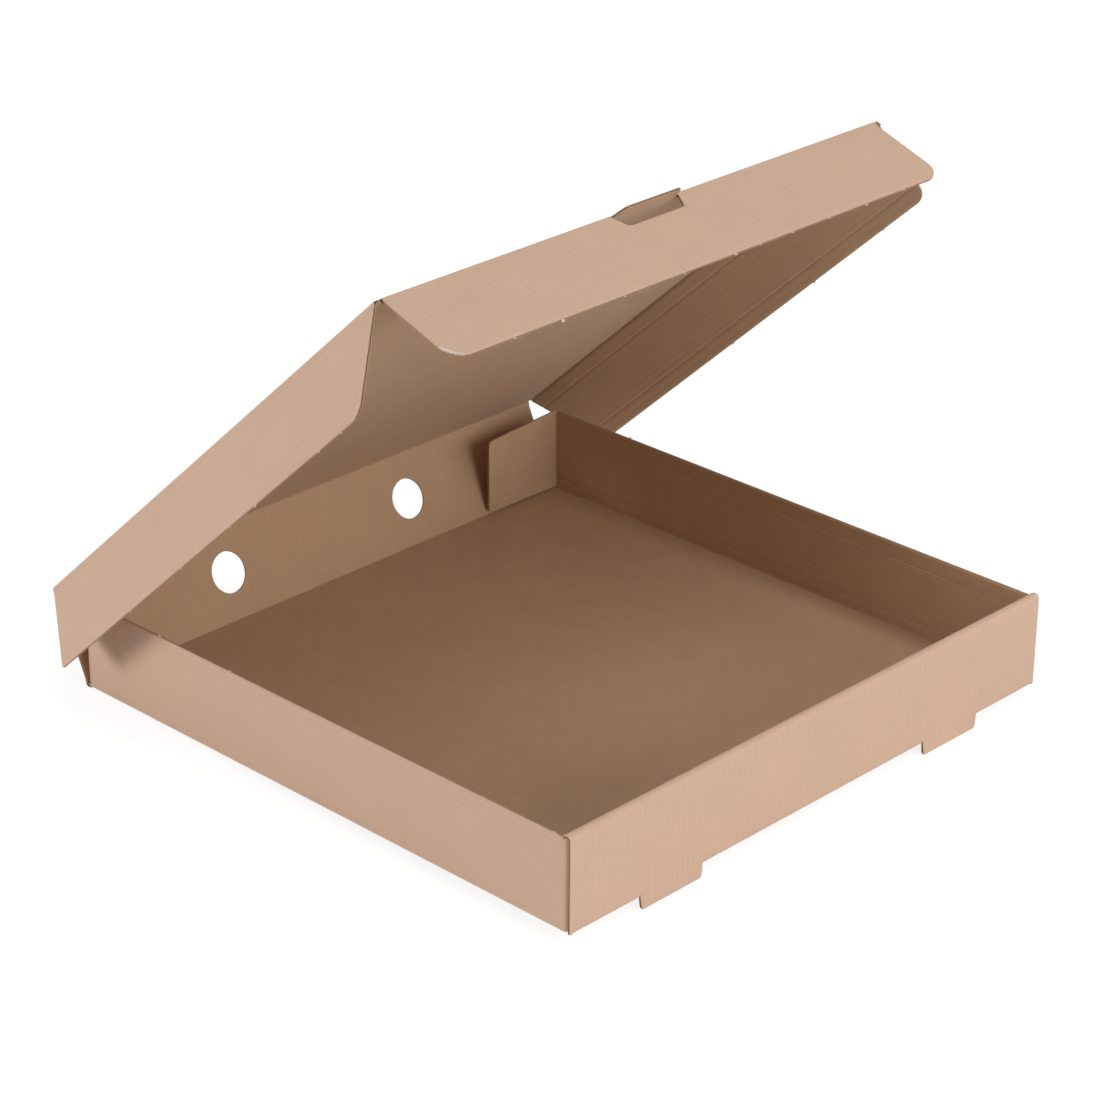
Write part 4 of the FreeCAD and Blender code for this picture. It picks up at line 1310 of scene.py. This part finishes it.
class BOX_OT_studio(Operator):
    """Makes the floor, the lights and the camera"""

    bl_idname = "box.studio"
    bl_label = "Studio"

    def execute(self, context):
        studio = context.scene.box_studio
        scene = context.scene
        scene.view_settings.view_transform = "Standard"
        self.floor()
        self.world(studio)
        lamp(scene, "front_lamp", (-0.1, -2.8, 1.05), 1.4, studio.front)
        lamp(scene, "high_lamp", (0.2, -1.5, 2.7), 1.6, studio.high)
        lamp(scene, "right_lamp", (1.9, -2.3, 0.8), 1.6, studio.right)
        lamp(scene, "left_lamp", (-2.4, 1.3, 0.45), 1.1, studio.left)
        lamp(scene, "top_lamp", (0.3, 0.3, 3.4), 2.0, studio.top)
        camera = bpy.data.objects.new("camera", bpy.data.cameras.new("camera"))
        camera.data.lens = studio.lens
        camera.data.sensor_width = 36
        camera.data.clip_end = 50
        camera.rotation_mode = "QUATERNION"
        turn = Matrix.Rotation(studio.azimuth, 4, "Z") @ Matrix.Rotation(math.pi / 2 - studio.tilt, 4, "X")
        camera.rotation_quaternion = (turn @ Matrix.Rotation(studio.roll, 4, "Z")).to_quaternion()
        camera.location = studio.place
        scene.collection.objects.link(camera)
        scene.camera = camera
        return {"FINISHED"}

    def floor(self):
        """A wide floor through the tips of the feet and the back edge of the base.

        Behind that edge it is all but level, so that the lid lies on it when it is opened flat."""
        size = 6.0
        fall = 0.002
        slope = FOOT_DROP / (BACK_FOLD[1] - FRONT_OUT)
        edge = float(BACK_FOLD[1])
        heights = ((-size, (-size - edge) * slope), (edge, 0.0), (size, (edge - size) * fall))
        corners = [(x, y, z) for y, z in heights for x in (-size, size)]
        mesh = bpy.data.meshes.new("floor")
        mesh.from_pydata(corners, [], [(0, 1, 3, 2), (2, 3, 5, 4)])
        mesh.update()
        material = bpy.data.materials.new("pale_floor")
        material.use_nodes = True
        tree = material.node_tree
        tree.nodes.clear()
        end = node(tree, "ShaderNodeOutputMaterial", (700, 0))
        path = node(tree, "ShaderNodeLightPath", (-300, 300))
        plain = node(tree, "ShaderNodeBsdfDiffuse", (0, -150))
        plain.inputs["Color"].default_value = (0.88, 0.88, 0.88, 1)
        soft = node(tree, "ShaderNodeBsdfDiffuse", (0, 50))
        soft.inputs["Color"].default_value = (0.28, 0.28, 0.28, 1)
        glow = node(tree, "ShaderNodeEmission", (0, 200), Strength=0.86)
        both = node(tree, "ShaderNodeAddShader", (200, 100))
        pick = node(tree, "ShaderNodeMixShader", (450, 0))
        tree.links.new(glow.outputs[0], both.inputs[0])
        tree.links.new(soft.outputs[0], both.inputs[1])
        seen = math_node(tree, "MAXIMUM", (-100, 350), path.outputs["Is Camera Ray"], path.outputs["Is Glossy Ray"])
        tree.links.new(seen, pick.inputs[0])
        tree.links.new(plain.outputs[0], pick.inputs[1])
        tree.links.new(both.outputs[0], pick.inputs[2])
        tree.links.new(pick.outputs[0], end.inputs[0])
        mesh.materials.append(material)
        plane = bpy.data.objects.new("floor", mesh)
        bpy.context.scene.collection.objects.link(plane)

    def world(self, studio):
        """An even sky, white to the camera."""
        world = bpy.data.worlds.new("studio")
        bpy.context.scene.world = world
        world.use_nodes = True
        tree = world.node_tree
        tree.nodes.clear()
        end = node(tree, "ShaderNodeOutputWorld", (600, 0))
        path = node(tree, "ShaderNodeLightPath", (-300, 200))
        sky = node(tree, "ShaderNodeBackground", (0, 0), Strength=studio.sky)
        white = node(tree, "ShaderNodeBackground", (0, -150), Strength=1.0)
        for shade in (sky, white):
            shade.inputs["Color"].default_value = (1, 1, 1, 1)
        seen = math_node(tree, "MAXIMUM", (0, 200), path.outputs["Is Camera Ray"], path.outputs["Is Glossy Ray"])
        seen = math_node(tree, "MAXIMUM", (150, 200), seen, path.outputs["Is Transmission Ray"])
        pick = node(tree, "ShaderNodeMixShader", (350, 0))
        tree.links.new(seen, pick.inputs[0])
        tree.links.new(sky.outputs[0], pick.inputs[1])
        tree.links.new(white.outputs[0], pick.inputs[2])
        tree.links.new(pick.outputs[0], end.inputs[0])


def lamp(scene, name, place, size, power):
    """A square area lamp that faces the box."""
    light = bpy.data.lights.new(name, "AREA")
    light.shape = "SQUARE"
    light.size = size
    light.energy = power
    holder = bpy.data.objects.new(name, light)
    holder.location = place
    aim = Vector(place) - Vector((0, 0, 0.1))
    holder.rotation_mode = "QUATERNION"
    holder.rotation_quaternion = aim.to_track_quat("Z", "Y")
    scene.collection.objects.link(holder)


class BOX_PT_panel(Panel):
    """Lists the box's pieces"""

    bl_idname = "BOX_PT_panel"
    bl_label = "Pizza Box"
    bl_space_type = "VIEW_3D"
    bl_region_type = "UI"
    bl_category = "Pizza Box"

    def draw(self, context):
        for operator in OPERATORS:
            self.layout.operator(operator.bl_idname)


OPERATORS = (BOX_OT_tray, BOX_OT_back_wall, BOX_OT_lid, BOX_OT_folds, BOX_OT_nicks, BOX_OT_studio)
SETTINGS = {
    "box_board": CorrugatedBoard,
    "box_tray": TrayShape,
    "box_lid": LidShape,
    "box_finish": CardFinish,
    "box_studio": StudioSet,
}


def register():
    """Registers the settings, the operators and the panel."""
    for name, settings in SETTINGS.items():
        bpy.utils.register_class(settings)
        setattr(bpy.types.Scene, name, PointerProperty(type=settings))
    for kind in (*OPERATORS, BOX_PT_panel):
        bpy.utils.register_class(kind)


def unregister():
    """Takes them away again."""
    for kind in (BOX_PT_panel, *reversed(OPERATORS)):
        bpy.utils.unregister_class(kind)
    for name, settings in SETTINGS.items():
        delattr(bpy.types.Scene, name)
        bpy.utils.unregister_class(settings)


def main():
    register()
    bpy.ops.box.tray()
    bpy.ops.box.back_wall()
    bpy.ops.box.lid()
    bpy.ops.box.folds()
    bpy.ops.box.nicks()
    bpy.ops.box.studio()


if __name__ == "__main__":
    main()
